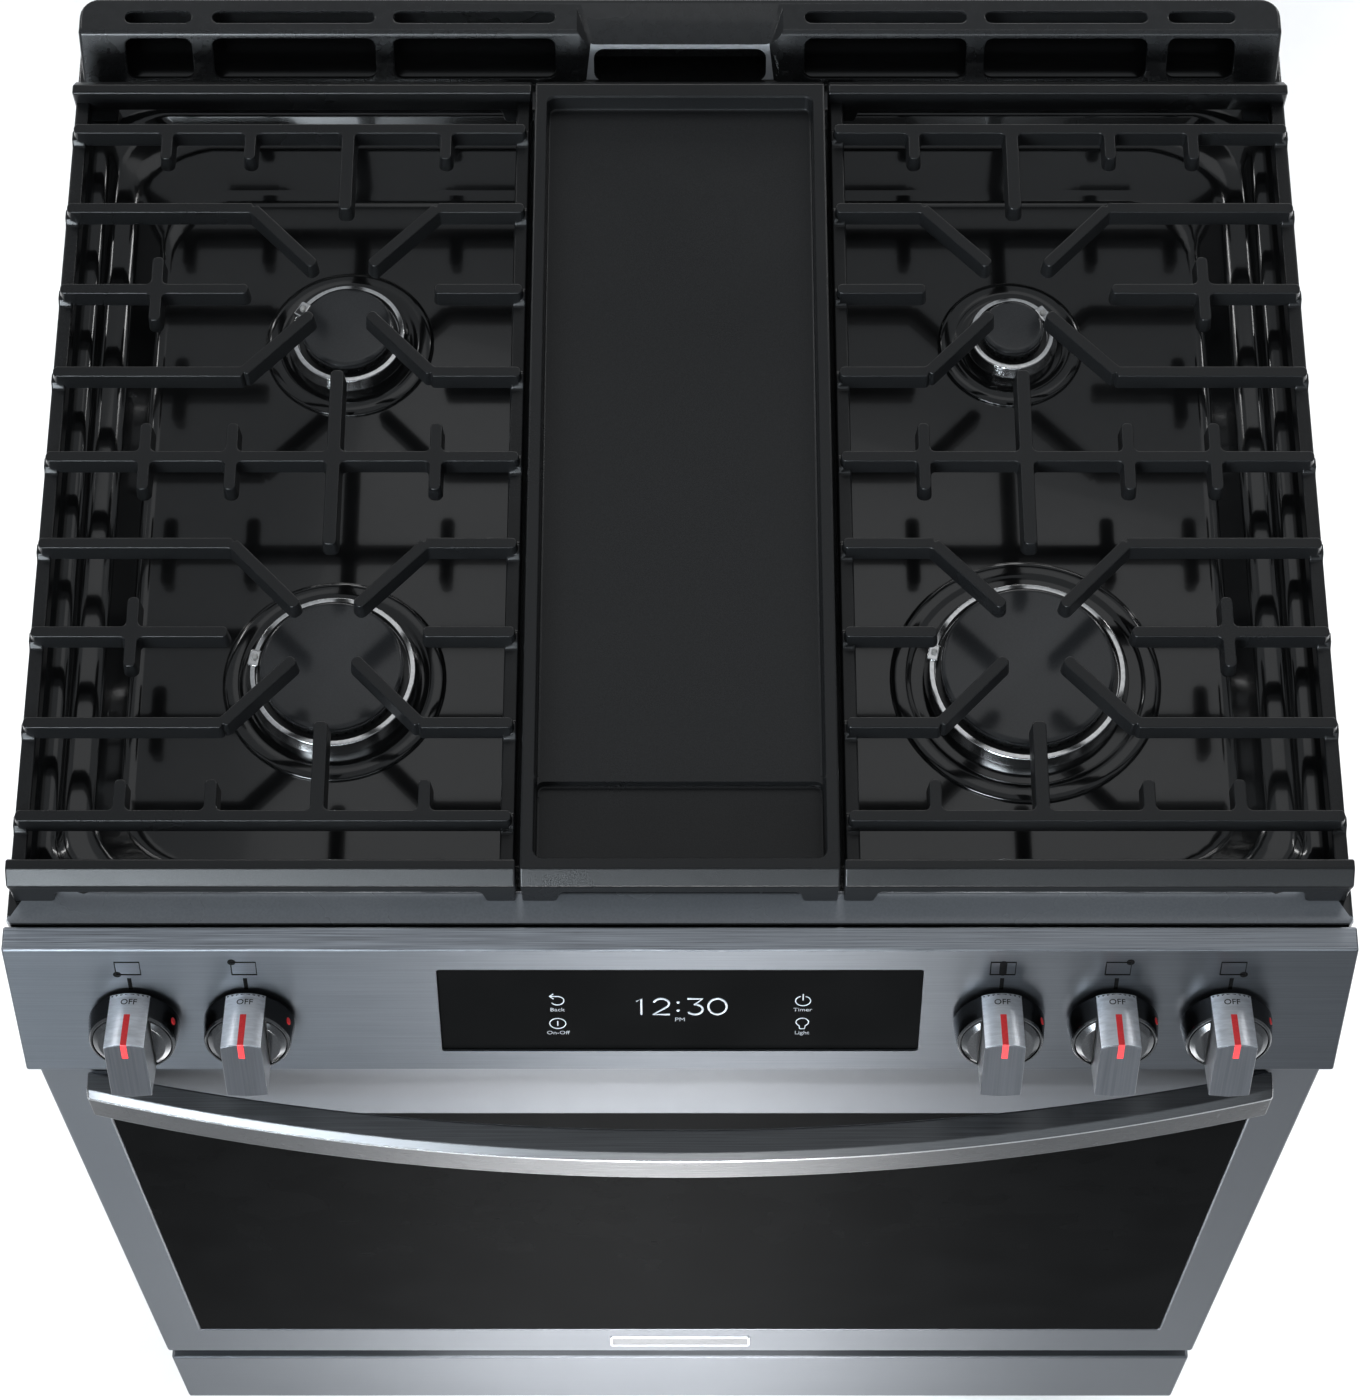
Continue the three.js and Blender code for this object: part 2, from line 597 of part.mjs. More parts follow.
// A cross bar with fingers that reach towards the pans on one or both sides.
function comb(sign, y, sides) {
  const x = (value) => sign * value;
  const bars = [bar([x(GRATE_X.outer), y], [x(GRATE_X.inner), y])];
  for (const side of sides) {
    for (const offset of FINGER_OFFSETS) {
      const at = x(BURNER_X + offset);
      bars.push(bar([at, y], [at, y + side * FINGER_REACH]));
    }
    bars.push(bar([x(BURNER_X), y], [x(BURNER_X), y + side * (BAR_PITCH + 1)], 8));
  }
  return bars;
}

// Where the feet stand, front and rear.
function footRows() {
  const [near, far] = GRATE_FOOT.depth;
  return [[GRATE_Y[0] + near, GRATE_Y[0] + far], [GRATE_Y[1] - far, GRATE_Y[1] - near]];
}

function grate(sign) {
  const between = (a, b) => [sign * a, sign * b].sort((p, q) => p - q);
  const rails = [
    [GRATE_X.outer - RAIL_WIDTH, GRATE_X.outer - 1],
    [GRATE_X.inner + 1, GRATE_X.inner + RAIL_WIDTH],
  ].map(([a, b]) => block(between(a, b), [GRATE_Y[0] + 3, GRATE_Y[1] - 3], RAIL_Z));
  const feet = footRows().flatMap((y) => [
    block(between(GRATE_X.outer - GRATE_FOOT.outer, GRATE_X.outer - 1), y, [FOOT_BOTTOM, FOOT_TOP]),
    block(between(GRATE_X.inner + 1, GRATE_X.inner + GRATE_FOOT.inner), y, [FOOT_BOTTOM, FOOT_TOP]),
  ]);
  const far = 2 * BURNER_REACH_Y;
  return join(
    ...grateEnds(between(GRATE_X.inner, GRATE_X.outer)),
    ...rails,
    ...feet,
    ...comb(sign, GRATE_MIDDLE_Y + far, [-1]),
    ...comb(sign, GRATE_MIDDLE_Y - far, [1]),
    ...comb(sign, GRATE_MIDDLE_Y, [-1, 1]),
    ...burnerBars(sign, GRATE_MIDDLE_Y + BURNER_REACH_Y),
    ...burnerBars(sign, GRATE_MIDDLE_Y - BURNER_REACH_Y),
  );
}

const GRIDDLE_HALF_WIDTH = 89.3;
const GRIDDLE_RIM = 8;
const GRIDDLE_PLATE_Z = 918;
const GRIDDLE_TROUGH_Z = 912;
const GRIDDLE_BOTTOM = 906;
const GRIDDLE_TROUGH_Y = [-230, -186];
const GRIDDLE_FOOT = 20;

function griddle() {
  const inside = GRIDDLE_HALF_WIDTH - GRIDDLE_RIM;
  const body = block(wide(GRIDDLE_HALF_WIDTH), [GRATE_Y[0] + 7, GRATE_Y[1] - 7],
    [GRIDDLE_BOTTOM, GRATE_TOP]);
  const plate = block(wide(inside), [GRIDDLE_TROUGH_Y[0], GRATE_Y[1] - 16],
    [GRIDDLE_PLATE_Z, GRATE_TOP + CUT]);
  const trough = block(wide(inside), GRIDDLE_TROUGH_Y, [GRIDDLE_TROUGH_Z, GRATE_TOP]);
  const feet = footRows().flatMap((y) =>
    [-1, 1].map((sign) => {
      const x = [sign * (GRIDDLE_HALF_WIDTH - GRIDDLE_FOOT), sign * GRIDDLE_HALF_WIDTH];
      return block(x.sort((a, b) => a - b), y, [FOOT_BOTTOM, FOOT_TOP]);
    }));
  return cut(join(body, ...grateEnds(wide(GRIDDLE_HALF_WIDTH)), ...feet), plate, trough);
}

function addGrates() {
  piece("left_grate", grate(-1), castIron);
  piece("right_grate", grate(1), castIron);
  piece("griddle", griddle(), castIron);
}

// ---------------------------------------------------------------- control panel, valves and knobs
const DISPLAY = { halfWidth: 137.3, down: [19.3, 90.5], height: [-1.8, 0.5] };
const STEM_RADIUS = 3.6;
const STEM_TIP = 22;
const STEM_ROOT = -13.7;
const PUSH = 4; // travel of a knob pushed in before it turns
const VALVE_FACE = -14;
const VALVE = { inlet: 6, body: 11, bodyFrom: -43, bodyTo: -20, neck: 8 };
const MANIFOLD_OUT = -58; // the gas manifold's axis behind the panel face
const KNOB = { radius: 26, base: 5.2, skirt: 20, top: 41, bladeHalfWidth: 11.5, bore: 3.9 };

// A group whose +Z leaves the panel's face and whose +Y runs up it, from the top front edge.
const panelFrame = new THREE.Group();
panelFrame.position.set(0, PANEL_TOP_EDGE.y, PANEL_TOP_EDGE.z);
panelFrame.rotation.x = Math.PI / 2 - PANEL_TILT;
panelFrame.updateMatrix();
range.add(panelFrame);
const onPanel = (shape) => shape.transform(panelFrame.matrix.elements.slice());

function addControlPanel() {
  const lean = Math.tan(PANEL_TILT);
  const drop = PANEL_FACE_LENGTH * Math.cos(PANEL_TILT);
  const { y, z } = PANEL_TOP_EDGE;
  const slanted = SHEET / Math.cos(PANEL_TILT);
  const outside = prismX([
    [PANEL_BACK, z], [y, z], [y - drop * lean, z - drop], [PANEL_BACK, z - drop],
  ], wide(PANEL_HALF_WIDTH));
  const faceAt = (height) => y - (z - height) * lean + slanted;
  const inside = prismX([
    [PANEL_BACK + CUT, z - SHEET], [faceAt(z - SHEET), z - SHEET],
    [faceAt(z - drop + SHEET), z - drop + SHEET], [PANEL_BACK + CUT, z - drop + SHEET],
  ], wide(PANEL_HALF_WIDTH - SHEET));
  const window = onPanel(block(wide(DISPLAY.halfWidth + GAP),
    [-DISPLAY.down[1] - GAP, -DISPLAY.down[0] + GAP], [-CUT, CUT]));
  const stemHoles = KNOB_X.map((x) =>
    onPanel(moved(cylinderZ(STEM_RADIUS + 2, [-CUT, CUT]), x, -KNOB_DOWN, 0)));
  piece("control_panel", cut(outside, inside, window, ...stemHoles), blackStainless);
  piece("display_glass", block(wide(DISPLAY.halfWidth),
    [-DISPLAY.down[1], -DISPLAY.down[0]], DISPLAY.height), darkGlass, panelFrame);
}

function valveBody() {
  return turned([
    [0, MANIFOLD_OUT + GAS_LINE_RADIUS + GAP],
    [VALVE.inlet, MANIFOLD_OUT + GAS_LINE_RADIUS + GAP],
    [VALVE.inlet, VALVE.bodyFrom],
    [VALVE.body, VALVE.bodyFrom],
    [VALVE.body, VALVE.bodyTo],
    [VALVE.neck, VALVE.bodyTo],
    [VALVE.neck, VALVE_FACE],
    [STEM_RADIUS + 0.7, VALVE_FACE],
    [STEM_RADIUS + 0.7, VALVE_FACE - PUSH - 4],
    [0, VALVE_FACE - PUSH - 4],
  ], 12);
}

// A round skirt with a bar grip across it; the bar's ends follow the skirt.
function knob() {
  const { radius, base, skirt, top, bladeHalfWidth, bore } = KNOB;
  const body = turned([
    [0, base], [radius, base], [radius, skirt - 2], [radius - 2, skirt], [0, skirt],
  ]);
  const blade = block(wide(bladeHalfWidth), wide(radius), [skirt - 1, top])
    .intersect(cylinderZ(radius, [skirt - 1, top], 24));
  return cut(join(body, blade), cylinderZ(bore, [base - CUT, STEM_TIP + GAP]));
}

function addControls() {
  BURNERS.forEach(({ name }, i) => {
    const place = new THREE.Group();
    place.position.set(KNOB_X[i], -KNOB_DOWN, 0);
    panelFrame.add(place);
    piece(`burner_valve_${name}`, valveBody(), brass, place);
    piece(`valve_stem_${name}`, cylinderZ(STEM_RADIUS, [STEM_ROOT, STEM_TIP]), galvanised, place);
    piece(`knob_${name}`, knob(), blackStainless, place);
  });
}

// The gas line: across behind the panel, back and down inside the right side, and out of the back.
function addGasManifold() {
  const height = -KNOB_DOWN;
  const y = PANEL_TOP_EDGE.y + height * Math.sin(PANEL_TILT) - MANIFOLD_OUT * Math.cos(PANEL_TILT);
  const z = PANEL_TOP_EDGE.z + height * Math.cos(PANEL_TILT) + MANIFOLD_OUT * Math.sin(PANEL_TILT);
  const radius = GAS_LINE_RADIUS;
  piece("gas_manifold", join(
    moved(cylinderX(radius, [-335, GAS_LINE_X + radius * 0.7]), 0, y, z),
    moved(cylinderY(radius, [y - radius * 0.7, GAS_LINE_Y + radius * 0.7]), GAS_LINE_X, 0, z),
    moved(cylinderZ(radius, [GAS_INLET_Z - radius * 0.7, z + radius * 0.7]),
      GAS_LINE_X, GAS_LINE_Y, 0),
    moved(cylinderY(radius, [GAS_LINE_Y - radius * 0.7, BACK - 0.5]), GAS_LINE_X, 0, GAS_INLET_Z),
  ), galvanised);
}

// ---------------------------------------------------------------- door
const DOOR_Z = [190, 790];
const DOOR_BACK = -264;
const DOOR_SKIN = 2.5;
const GLASS = { halfWidth: 345, z: [244, 700], thick: 4 };
const WINDOW = { halfWidth: 270, z: [300, 610] };
const HANDLE = { halfWidth: 347, z: [745, 780], bow: 39.5, depthEnd: 16, depthMiddle: 19, post: 20 };

const doorNotches = [-HINGE_X, HINGE_X].map((x) =>
  block([x - HINGE_THICK - 1, x + HINGE_THICK + 1],
    [HINGE_AXIS.y - HINGE_ARM - 2, FRAME_FACE + CUT],
    [DOOR_Z[0] - CUT, HINGE_AXIS.z + HINGE_ARM + 2.5]));

function addDoorShells() {
  const face = [DOOR_FACE - CUT, DOOR_FACE + DOOR_SKIN + CUT];
  const frame = cut(
    block(wide(DOOR_HALF_WIDTH), [DOOR_FACE, DOOR_BACK], DOOR_Z),
    block(wide(DOOR_HALF_WIDTH - DOOR_SKIN), [DOOR_FACE + DOOR_SKIN, DOOR_BACK + CUT],
      [DOOR_Z[0] + DOOR_SKIN, DOOR_Z[1] - DOOR_SKIN]),
    block(wide(GLASS.halfWidth + GAP), face, [GLASS.z[0] - GAP, GLASS.z[1] + GAP]),
    ...doorNotches,
  );
  piece("door_frame", frame, blackStainless);
  const outer = DOOR_FACE + GAP;
  piece("door_glass", block(wide(GLASS.halfWidth), [outer, outer + GLASS.thick], GLASS.z), darkGlass);

  const y = [DOOR_BACK + GAP, DOOR_BACK + GAP + SHEET];
  const past = [y[0] - CUT, y[1] + CUT];
  piece("door_liner", cut(
    block(wide(DOOR_HALF_WIDTH - 3), y, [DOOR_Z[0] + 3, DOOR_Z[1] - 3]),
    prismY(roundedRectangle(wide(WINDOW.halfWidth + GAP),
      [WINDOW.z[0] - GAP, WINDOW.z[1] + GAP], 12 + GAP), past),
    ...doorNotches,
  ), cavityEnamel);
  piece("door_inner_glass", prismY(roundedRectangle(wide(WINDOW.halfWidth), WINDOW.z, 12),
    [y[0] - 2, y[1]]), darkGlass);
}

// The handle: a bar bowed forward between two posts that stand on the door.
function addHandle() {
  const { halfWidth, z, bow, depthEnd, depthMiddle, post } = HANDLE;
  const steps = 16;
  const bowAt = (x, end, middle) => middle + (end - middle) * (x / halfWidth) ** 2;
  const frontEdge = [];
  const backEdge = [];
  for (let i = 0; i <= steps; i++) {
    const x = -halfWidth + (2 * halfWidth * i) / steps;
    frontEdge.push([x, bowAt(x, FRONT + bow, FRONT)]);
    backEdge.unshift([x, bowAt(x, FRONT + bow + depthEnd, FRONT + depthMiddle)]);
  }
  const grip = prismZ(shapeOf([...frontEdge, ...backEdge]), z);
  const posts = [-1, 1].map((sign) => {
    const x = [sign * (halfWidth - post), sign * (halfWidth - 1)].sort((a, b) => a - b);
    return block(x, [FRONT + bow + 4, DOOR_FACE - GAP], [z[0] + 2, z[1] - 2]);
  });
  piece("door_handle", join(grip, ...posts), blackStainless);
}

// A hinge arm fixed in the front frame; the door turns on the eye at its front end.
function addHinges() {
  const { y, z } = HINGE_AXIS;
  const outline = new THREE.Shape();
  outline.absarc(y, z, HINGE_ARM, Math.PI / 2, 1.5 * Math.PI);
  outline.lineTo(HINGE_ARM_BACK, z - HINGE_ARM);
  outline.lineTo(HINGE_ARM_BACK, z + HINGE_ARM);
  for (const [side, sign] of [["left", -1], ["right", 1]]) {
    const x = sign * HINGE_X - HINGE_THICK / 2;
    const arm = extrude(outline, HINGE_THICK, [AXIS_Y, AXIS_Z, AXIS_X], [x, 0, 0], 3);
    piece(`door_hinge_${side}`, arm, galvanised);
  }
}

// ---------------------------------------------------------------- storage drawer
const DRAWER_Z = [67, 172];
const DRAWER_FACE_BACK = -282;
const DRAWER_BOX = { halfWidth: 349, y: [-281.7, 235], z: [80, 158] };
const RAIL = { y: [-250, 240], z: [100, 118] };

function addDrawer() {
  const halfWidth = DOOR_HALF_WIDTH - 0.5;
  piece("drawer_front", cut(
    block(wide(halfWidth), [DOOR_FACE, DRAWER_FACE_BACK], DRAWER_Z),
    block(wide(halfWidth - DOOR_SKIN), [DOOR_FACE + DOOR_SKIN, DRAWER_FACE_BACK + CUT],
      [DRAWER_Z[0] + DOOR_SKIN, DRAWER_Z[1] - DOOR_SKIN]),
  ), blackStainless);
  const { halfWidth: half, y, z } = DRAWER_BOX;
  piece("drawer_box", cut(
    block(wide(half), y, z),
    block(wide(half - SHEET), [y[0] + SHEET, y[1] - SHEET], [z[0] + SHEET, z[1] + CUT]),
  ), galvanised);
  for (const [side, sign] of [["left", -1], ["right", 1]]) {
    const x = [sign * (half + 1), sign * (BASE_HALF_WIDTH)].sort((a, b) => a - b);
    piece(`drawer_rail_${side}`, block(x, RAIL.y, RAIL.z), galvanised);
  }
}

// ---------------------------------------------------------------- the whole range
addLegs();
addBaseFrame();
addCasing();
addFrontFrame();
addOvenCavity();
addInsulation();
addOvenFloor();
addOvenBurners();
addRacks();
addCooktop();
addRearVent();
addBurners();
addGrates();
addControlPanel();
addControls();
addGasManifold();
addDoorShells();
addHandle();
addHinges();
addDrawer();

export default range;
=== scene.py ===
"""A 30-inch front-control gas range in dark stainless steel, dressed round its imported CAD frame.

Shapes are made in millimetres, in the CAD frame: +Z up, -Y the front. piece() turns them into metres.
A shell is a closed surface, held as (points, faces). A loop is a flat outline of (u, v) points, with
material on its left, so holes run clockwise.
"""

import json
from math import asin, atan2, ceil, cos, degrees, pi, radians, sin, sqrt, tan

import bpy
from mathutils import Matrix, Vector
from mathutils.geometry import tessellate_polygon


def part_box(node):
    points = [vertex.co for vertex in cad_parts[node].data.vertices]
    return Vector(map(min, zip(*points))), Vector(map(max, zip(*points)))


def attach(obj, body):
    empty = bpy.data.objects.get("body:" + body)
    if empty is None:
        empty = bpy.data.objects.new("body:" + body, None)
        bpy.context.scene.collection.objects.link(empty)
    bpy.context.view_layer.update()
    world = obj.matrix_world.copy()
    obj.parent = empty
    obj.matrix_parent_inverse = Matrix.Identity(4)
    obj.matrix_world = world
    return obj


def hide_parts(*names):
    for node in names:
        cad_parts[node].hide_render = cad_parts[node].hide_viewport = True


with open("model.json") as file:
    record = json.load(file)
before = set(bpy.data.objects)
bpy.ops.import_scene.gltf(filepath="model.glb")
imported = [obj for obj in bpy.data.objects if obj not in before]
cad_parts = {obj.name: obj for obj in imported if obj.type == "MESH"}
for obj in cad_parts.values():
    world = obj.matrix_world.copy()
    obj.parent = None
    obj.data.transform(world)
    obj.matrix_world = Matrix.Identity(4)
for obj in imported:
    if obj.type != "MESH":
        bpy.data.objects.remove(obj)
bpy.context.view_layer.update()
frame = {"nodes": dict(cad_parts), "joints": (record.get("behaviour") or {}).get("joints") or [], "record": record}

MM = 0.001
BURNERS = ("left_front", "left_rear", "center", "right_rear", "right_front")
SIDES = {"left": -1, "right": 1}
ROWS = {"front": -1, "rear": 1}


def side_and_row(name):
    """Which side and which row a burner is in, each -1, 0 or 1."""
    return SIDES.get(name.split("_")[0], 0), ROWS.get(name.split("_")[-1], 0)


def span(node):
    """A CAD node's lowest and highest corner, in millimetres."""
    low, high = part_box(node)
    return low / MM, high / MM


# ------------------------------------------------------------------ outlines
def arc(u, v, radius, start, end, steps):
    """Points on a circle, from one angle to another in degrees."""
    turns = [radians(start + (end - start) * i / steps) for i in range(steps + 1)]
    return [(u + radius * cos(t), v + radius * sin(t)) for t in turns]


def circle(u, v, radius, steps=48):
    return arc(u, v, radius, 0, 360, steps)[:-1]


def rectangle(u, v, radius=0.0, steps=5):
    """A rectangle between two values each way, with round corners."""
    (u0, u1), (v0, v1) = sorted(u), sorted(v)
    if radius <= 0:
        return [(u0, v0), (u1, v0), (u1, v1), (u0, v1)]
    corners = ((u1, v0, -90), (u1, v1, 0), (u0, v1, 90), (u0, v0, 180))
    points = []
    for cu, cv, start in corners:
        centre_u = cu - radius if cu == u1 else cu + radius
        centre_v = cv - radius if cv == v1 else cv + radius
        points += arc(centre_u, centre_v, radius, start, start + 90, steps)
    return points


def hole(loop):
    return loop[::-1]


def area(loop):
    pairs = zip(loop, loop[1:] + loop[:1])
    return sum(a[0] * b[1] - b[0] * a[1] for a, b in pairs) / 2


def rounded(points, radius, step=18.0):
    """The outline with each corner turned into an arc. radius is one number, or one for each point."""
    radii = radius if isinstance(radius, (list, tuple)) else [radius] * len(points)
    made = []
    for i, here in enumerate(points):
        before = Vector(points[i - 1]) - Vector(here)
        after = Vector(points[(i + 1) % len(points)]) - Vector(here)
        angle = before.angle(after)
        turn = pi - angle
        if radii[i] <= 0 or turn < 1e-3:
            made.append(tuple(here))
            continue
        reach = min(radii[i] * tan(turn / 2), 0.49 * before.length, 0.49 * after.length)
        real = reach / tan(turn / 2)
        bisector = before.normalized() + after.normalized()
        centre = Vector(here) + bisector.normalized() * (real / sin(angle / 2))
        first = Vector(here) + before.normalized() * reach - centre
        last = Vector(here) + after.normalized() * reach - centre
        start = atan2(first.y, first.x)
        swing = (atan2(last.y, last.x) - start + pi) % (2 * pi) - pi
        steps = max(2, ceil(abs(swing) / radians(step)))
        for k in range(steps + 1):
            t = start + swing * k / steps
            made.append((centre.x + real * cos(t), centre.y + real * sin(t)))
    return made


def inset(loop, amount):
    """The loop moved towards its own left, into the material, by that amount."""
    if not amount:
        return list(loop)
    moved_loop = []
    for i, here in enumerate(loop):
        before = Vector(here) - Vector(loop[i - 1])
        after = Vector(loop[(i + 1) % len(loop)]) - Vector(here)
        n1 = Vector((-before.y, before.x)).normalized()
        n2 = Vector((-after.y, after.x)).normalized()
        shift = (n1 + n2) / max(1 + n1.dot(n2), 0.3)
        moved_loop.append((here[0] + shift.x * amount, here[1] + shift.y * amount))
    return moved_loop


# ------------------------------------------------------------------ shells
def plate(loops, levels):
    """A solid between copies of the loops, at (height, inset) levels from the lowest to the highest."""
    points, faces, starts = [], [], []
    for height, amount in levels:
        starts.append(len(points))
        for loop in loops:
            points += [Vector((u, v, height)) for u, v in inset(loop, amount)]
    for low, high in zip(starts, starts[1:]):
        first = 0
        for loop in loops:
            count = len(loop)
            for i in range(count):
                a = first + i
                b = first + (i + 1) % count
                faces.append((low + a, low + b, high + b, high + a))
            first += count
    size = sum(len(loop) for loop in loops)
    for start, up in ((starts[0], False), (starts[-1], True)):
        if len(loops) == 1:
            cap = [tuple(range(start, start + size))]
        else:
            rings, first = [], start
            for loop in loops:
                rings.append(points[first:first + len(loop)])
                first += len(loop)
            cap = [tuple(start + i for i in t) for t in tessellate_polygon(rings)]
        for face in cap:
            a, b, c = (points[i] for i in face[:3])
            turn = sum((points[face[i]] - a).cross(points[face[(i + 1) % len(face)]] - a).z
                       for i in range(len(face)))
            faces.append(face if (turn > 0) == up else face[::-1])
    return points, faces


def edged(low, high, bottom=0.0, top=0.0, steps=3):
    """Levels from low to high whose two edges are rounded by those radii."""
    levels = []
    for radius, start, way in ((bottom, low, 1), (top, high, -1)):
        run = []
        for i in range(steps + 1 if radius else 1):
            t = pi / 2 * i / steps if radius else pi / 2
            run.append((start + way * radius * (1 - cos(t)), radius * (1 - sin(t))))
        levels += run if way > 0 else run[::-1]
    return levels


def turned(profile, steps=48):
    """A solid of revolution about Z, from (radius, height) points that start and end on the axis."""
    inner = profile[1:-1]
    points = [Vector((0, 0, profile[0][1])), Vector((0, 0, profile[-1][1]))]
    for i in range(steps):
        t = 2 * pi * i / steps
        points += [Vector((r * cos(t), r * sin(t), h)) for r, h in inner]
    faces = []
    count = len(inner)
    for i in range(steps):
        a = 2 + i * count
        b = 2 + (i + 1) % steps * count
        faces.append((0, b, a))
        faces.append((1, a + count - 1, b + count - 1))
        faces += [(a + k, b + k, b + k + 1, a + k + 1) for k in range(count - 1)]
    return points, faces


def lofted(rings, closed=False):
    """A solid through rings of equally many points. closed joins the last ring to the first."""
    points = [Vector(p) for ring in rings for p in ring]
    count = len(rings[0])
    faces = []
    pairs = list(zip(range(len(rings)), range(1, len(rings))))
    if closed:
        pairs.append((len(rings) - 1, 0))
    for low, high in pairs:
        for i in range(count):
            j = (i + 1) % count
            faces.append((low * count + i, low * count + j, high * count + j, high * count + i))
    if not closed:
        last = (len(rings) - 1) * count
        faces.append(tuple(range(count))[::-1])
        faces.append(tuple(range(last, last + count)))
    return points, faces


def tube(path, radius, sides=10, closed=False, flat=1.0):
    """A round or flattened bar along points in space."""
    path = [Vector(p) for p in path]
    rings = []
    side = None
    for i, here in enumerate(path):
        before = path[i - 1] if i or closed else here
        after = path[(i + 1) % len(path)] if i < len(path) - 1 or closed else here
        ahead = (after - before).normalized()
        if side is None:
            side = ahead.orthogonal().normalized()
        side = (side - ahead * side.dot(ahead)).normalized()
        up = ahead.cross(side)
        turns = [2 * pi * k / sides for k in range(sides)]
        rings.append([here + side * radius * cos(t) + up * radius * flat * sin(t) for t in turns])
    return lofted(rings, closed)


def smooth_path(points, steps=8):
    """A Catmull-Rom curve through the points."""
    points = [Vector(p) for p in points]
    ends = [points[0] * 2 - points[1]] + points + [points[-1] * 2 - points[-2]]
    made = []
    for a, b, c, d in zip(ends, ends[1:], ends[2:], ends[3:]):
        for i in range(steps):
            t = i / steps
            made.append(0.5 * (2 * b + (c - a) * t + (2 * a - 5 * b + 4 * c - d) * t * t
                               + (3 * b - 3 * c + d - a) * t ** 3))
    return made + [points[-1]]


def moved(shell, matrix):
    return [matrix @ p for p in shell[0]], shell[1]


def shifted(shell, x=0.0, y=0.0, z=0.0):
    return moved(shell, Matrix.Translation((x, y, z)))


def merged(*shells):
    points, faces = [], []
    for more_points, more_faces in shells:
        start = len(points)
        points += more_points
        faces += [tuple(start + i for i in face) for face in more_faces]
    return points, faces


def mirrored(shell):
    """The shell mirrored left to right."""
    return [Vector((-p.x, p.y, p.z)) for p in shell[0]], [face[::-1] for face in shell[1]]


def box(x, y, z, radius=0.0):
    """A block between two values on each axis, with rounded edges."""
    (x0, x1), (y0, y1), (z0, z1) = sorted(x), sorted(y), sorted(z)
    loop = rectangle((x0, x1), (y0, y1), radius, 3)
    return plate([loop], edged(z0, z1, radius, radius, 2))


def placed(name, data):
    """A new object in the scene."""
    made = bpy.data.objects.new(name, data)
    bpy.context.scene.collection.objects.link(made)
    return made


def scratch_object(shell):
    mesh = bpy.data.meshes.new("scratch")
    mesh.from_pydata([tuple(p) for p in shell[0]], [], shell[1])
    return placed("scratch", mesh)


def shell_of(made):
    """The shell of an object with its modifiers applied."""
    mesh = made.evaluated_get(bpy.context.evaluated_depsgraph_get()).to_mesh()
    return [v.co.copy() for v in mesh.vertices], [tuple(p.vertices) for p in mesh.polygons]


def combined(base, tools, operation):
    """The base shell joined with, or cut by, each tool in turn."""
    work = scratch_object(base)
    others = [scratch_object(tool) for tool in tools]
    for other in others:
        modifier = work.modifiers.new("combine", "BOOLEAN")
        modifier.object = other
        modifier.operation = operation
        modifier.solver = "MANIFOLD"
    result = shell_of(work)
    for other in [work, *others]:
        data = other.data
        bpy.data.objects.remove(other)
        bpy.data.meshes.remove(data)
    return result


def join(base, *tools):
    return combined(base, tools, "UNION")


def cut(base, *tools):
    return combined(base, tools, "DIFFERENCE")


def basis(u, v, w, at=(0, 0, 0)):
    """A frame whose own u, v and height run along those directions."""
    matrix = Matrix((u, v, w)).transposed().to_4x4()
    matrix.translation = Vector(at)
    return matrix


ALONG_X = basis((0, 1, 0), (0, 0, 1), (1, 0, 0))  # an outline of (y, z), run along X
FACING_FRONT = basis((1, 0, 0), (0, 0, 1), (0, -1, 0))  # an outline of (x, z), rising towards the front


def facing_back(y):
    """An outline of (-x, z), rising towards the back from that y."""
    return basis((-1, 0, 0), (0, 0, 1), (0, 1, 0), (0, y, 0))


# ------------------------------------------------------------------ materials
def new_material(name):
    made = bpy.data.materials.new(name)
    made.use_nodes = True
    return made, made.node_tree, made.node_tree.nodes["Principled BSDF"]


def set_up(shader, **values):
    """Constants straight on the shader's own sockets."""
    for key, value in values.items():
        shader.inputs[key.replace("_", " ")].default_value = value


def noise_of(tree, stretch, scale=1.0, detail=4.0, roughness=0.55):
    """Noise through the piece's own space. stretch holds how fast it varies along X, Y and Z, per metre."""
    place = tree.nodes.new("ShaderNodeTexCoord")
    mapping = tree.nodes.new("ShaderNodeMapping")
    mapping.inputs["Scale"].default_value = stretch
    noise = tree.nodes.new("ShaderNodeTexNoise")
    noise.inputs["Scale"].default_value = scale
    noise.inputs["Detail"].default_value = detail
    noise.inputs["Roughness"].default_value = roughness
    tree.links.new(place.outputs["Object"], mapping.inputs["Vector"])
    tree.links.new(mapping.outputs["Vector"], noise.inputs["Vector"])
    return noise.outputs["Fac"]


def ramp_of(tree, source, low, high, dark, light):
    """A colour that runs from dark to light as the source runs from low to high."""
    ramp = tree.nodes.new("ShaderNodeValToRGB")
    first, last = ramp.color_ramp.elements
    first.position, first.color = low, (*dark, 1)
    last.position, last.color = high, (*light, 1)
    tree.links.new(source, ramp.inputs["Fac"])
    return ramp.outputs["Color"]


def range_of(tree, source, low, high, to_low, to_high):
    spread = tree.nodes.new("ShaderNodeMapRange")
    for key, value in (("From Min", low), ("From Max", high), ("To Min", to_low), ("To Max", to_high)):
        spread.inputs[key].default_value = value
    tree.links.new(source, spread.inputs["Value"])
    return spread.outputs["Result"]


def bump_of(tree, source, depth, strength=1.0, under=None):
    bump = tree.nodes.new("ShaderNodeBump")
    bump.inputs["Strength"].default_value = strength
    bump.inputs["Distance"].default_value = depth
    tree.links.new(source, bump.inputs["Height"])
    if under is not None:
        tree.links.new(under, bump.inputs["Normal"])
    return bump.outputs["Normal"]


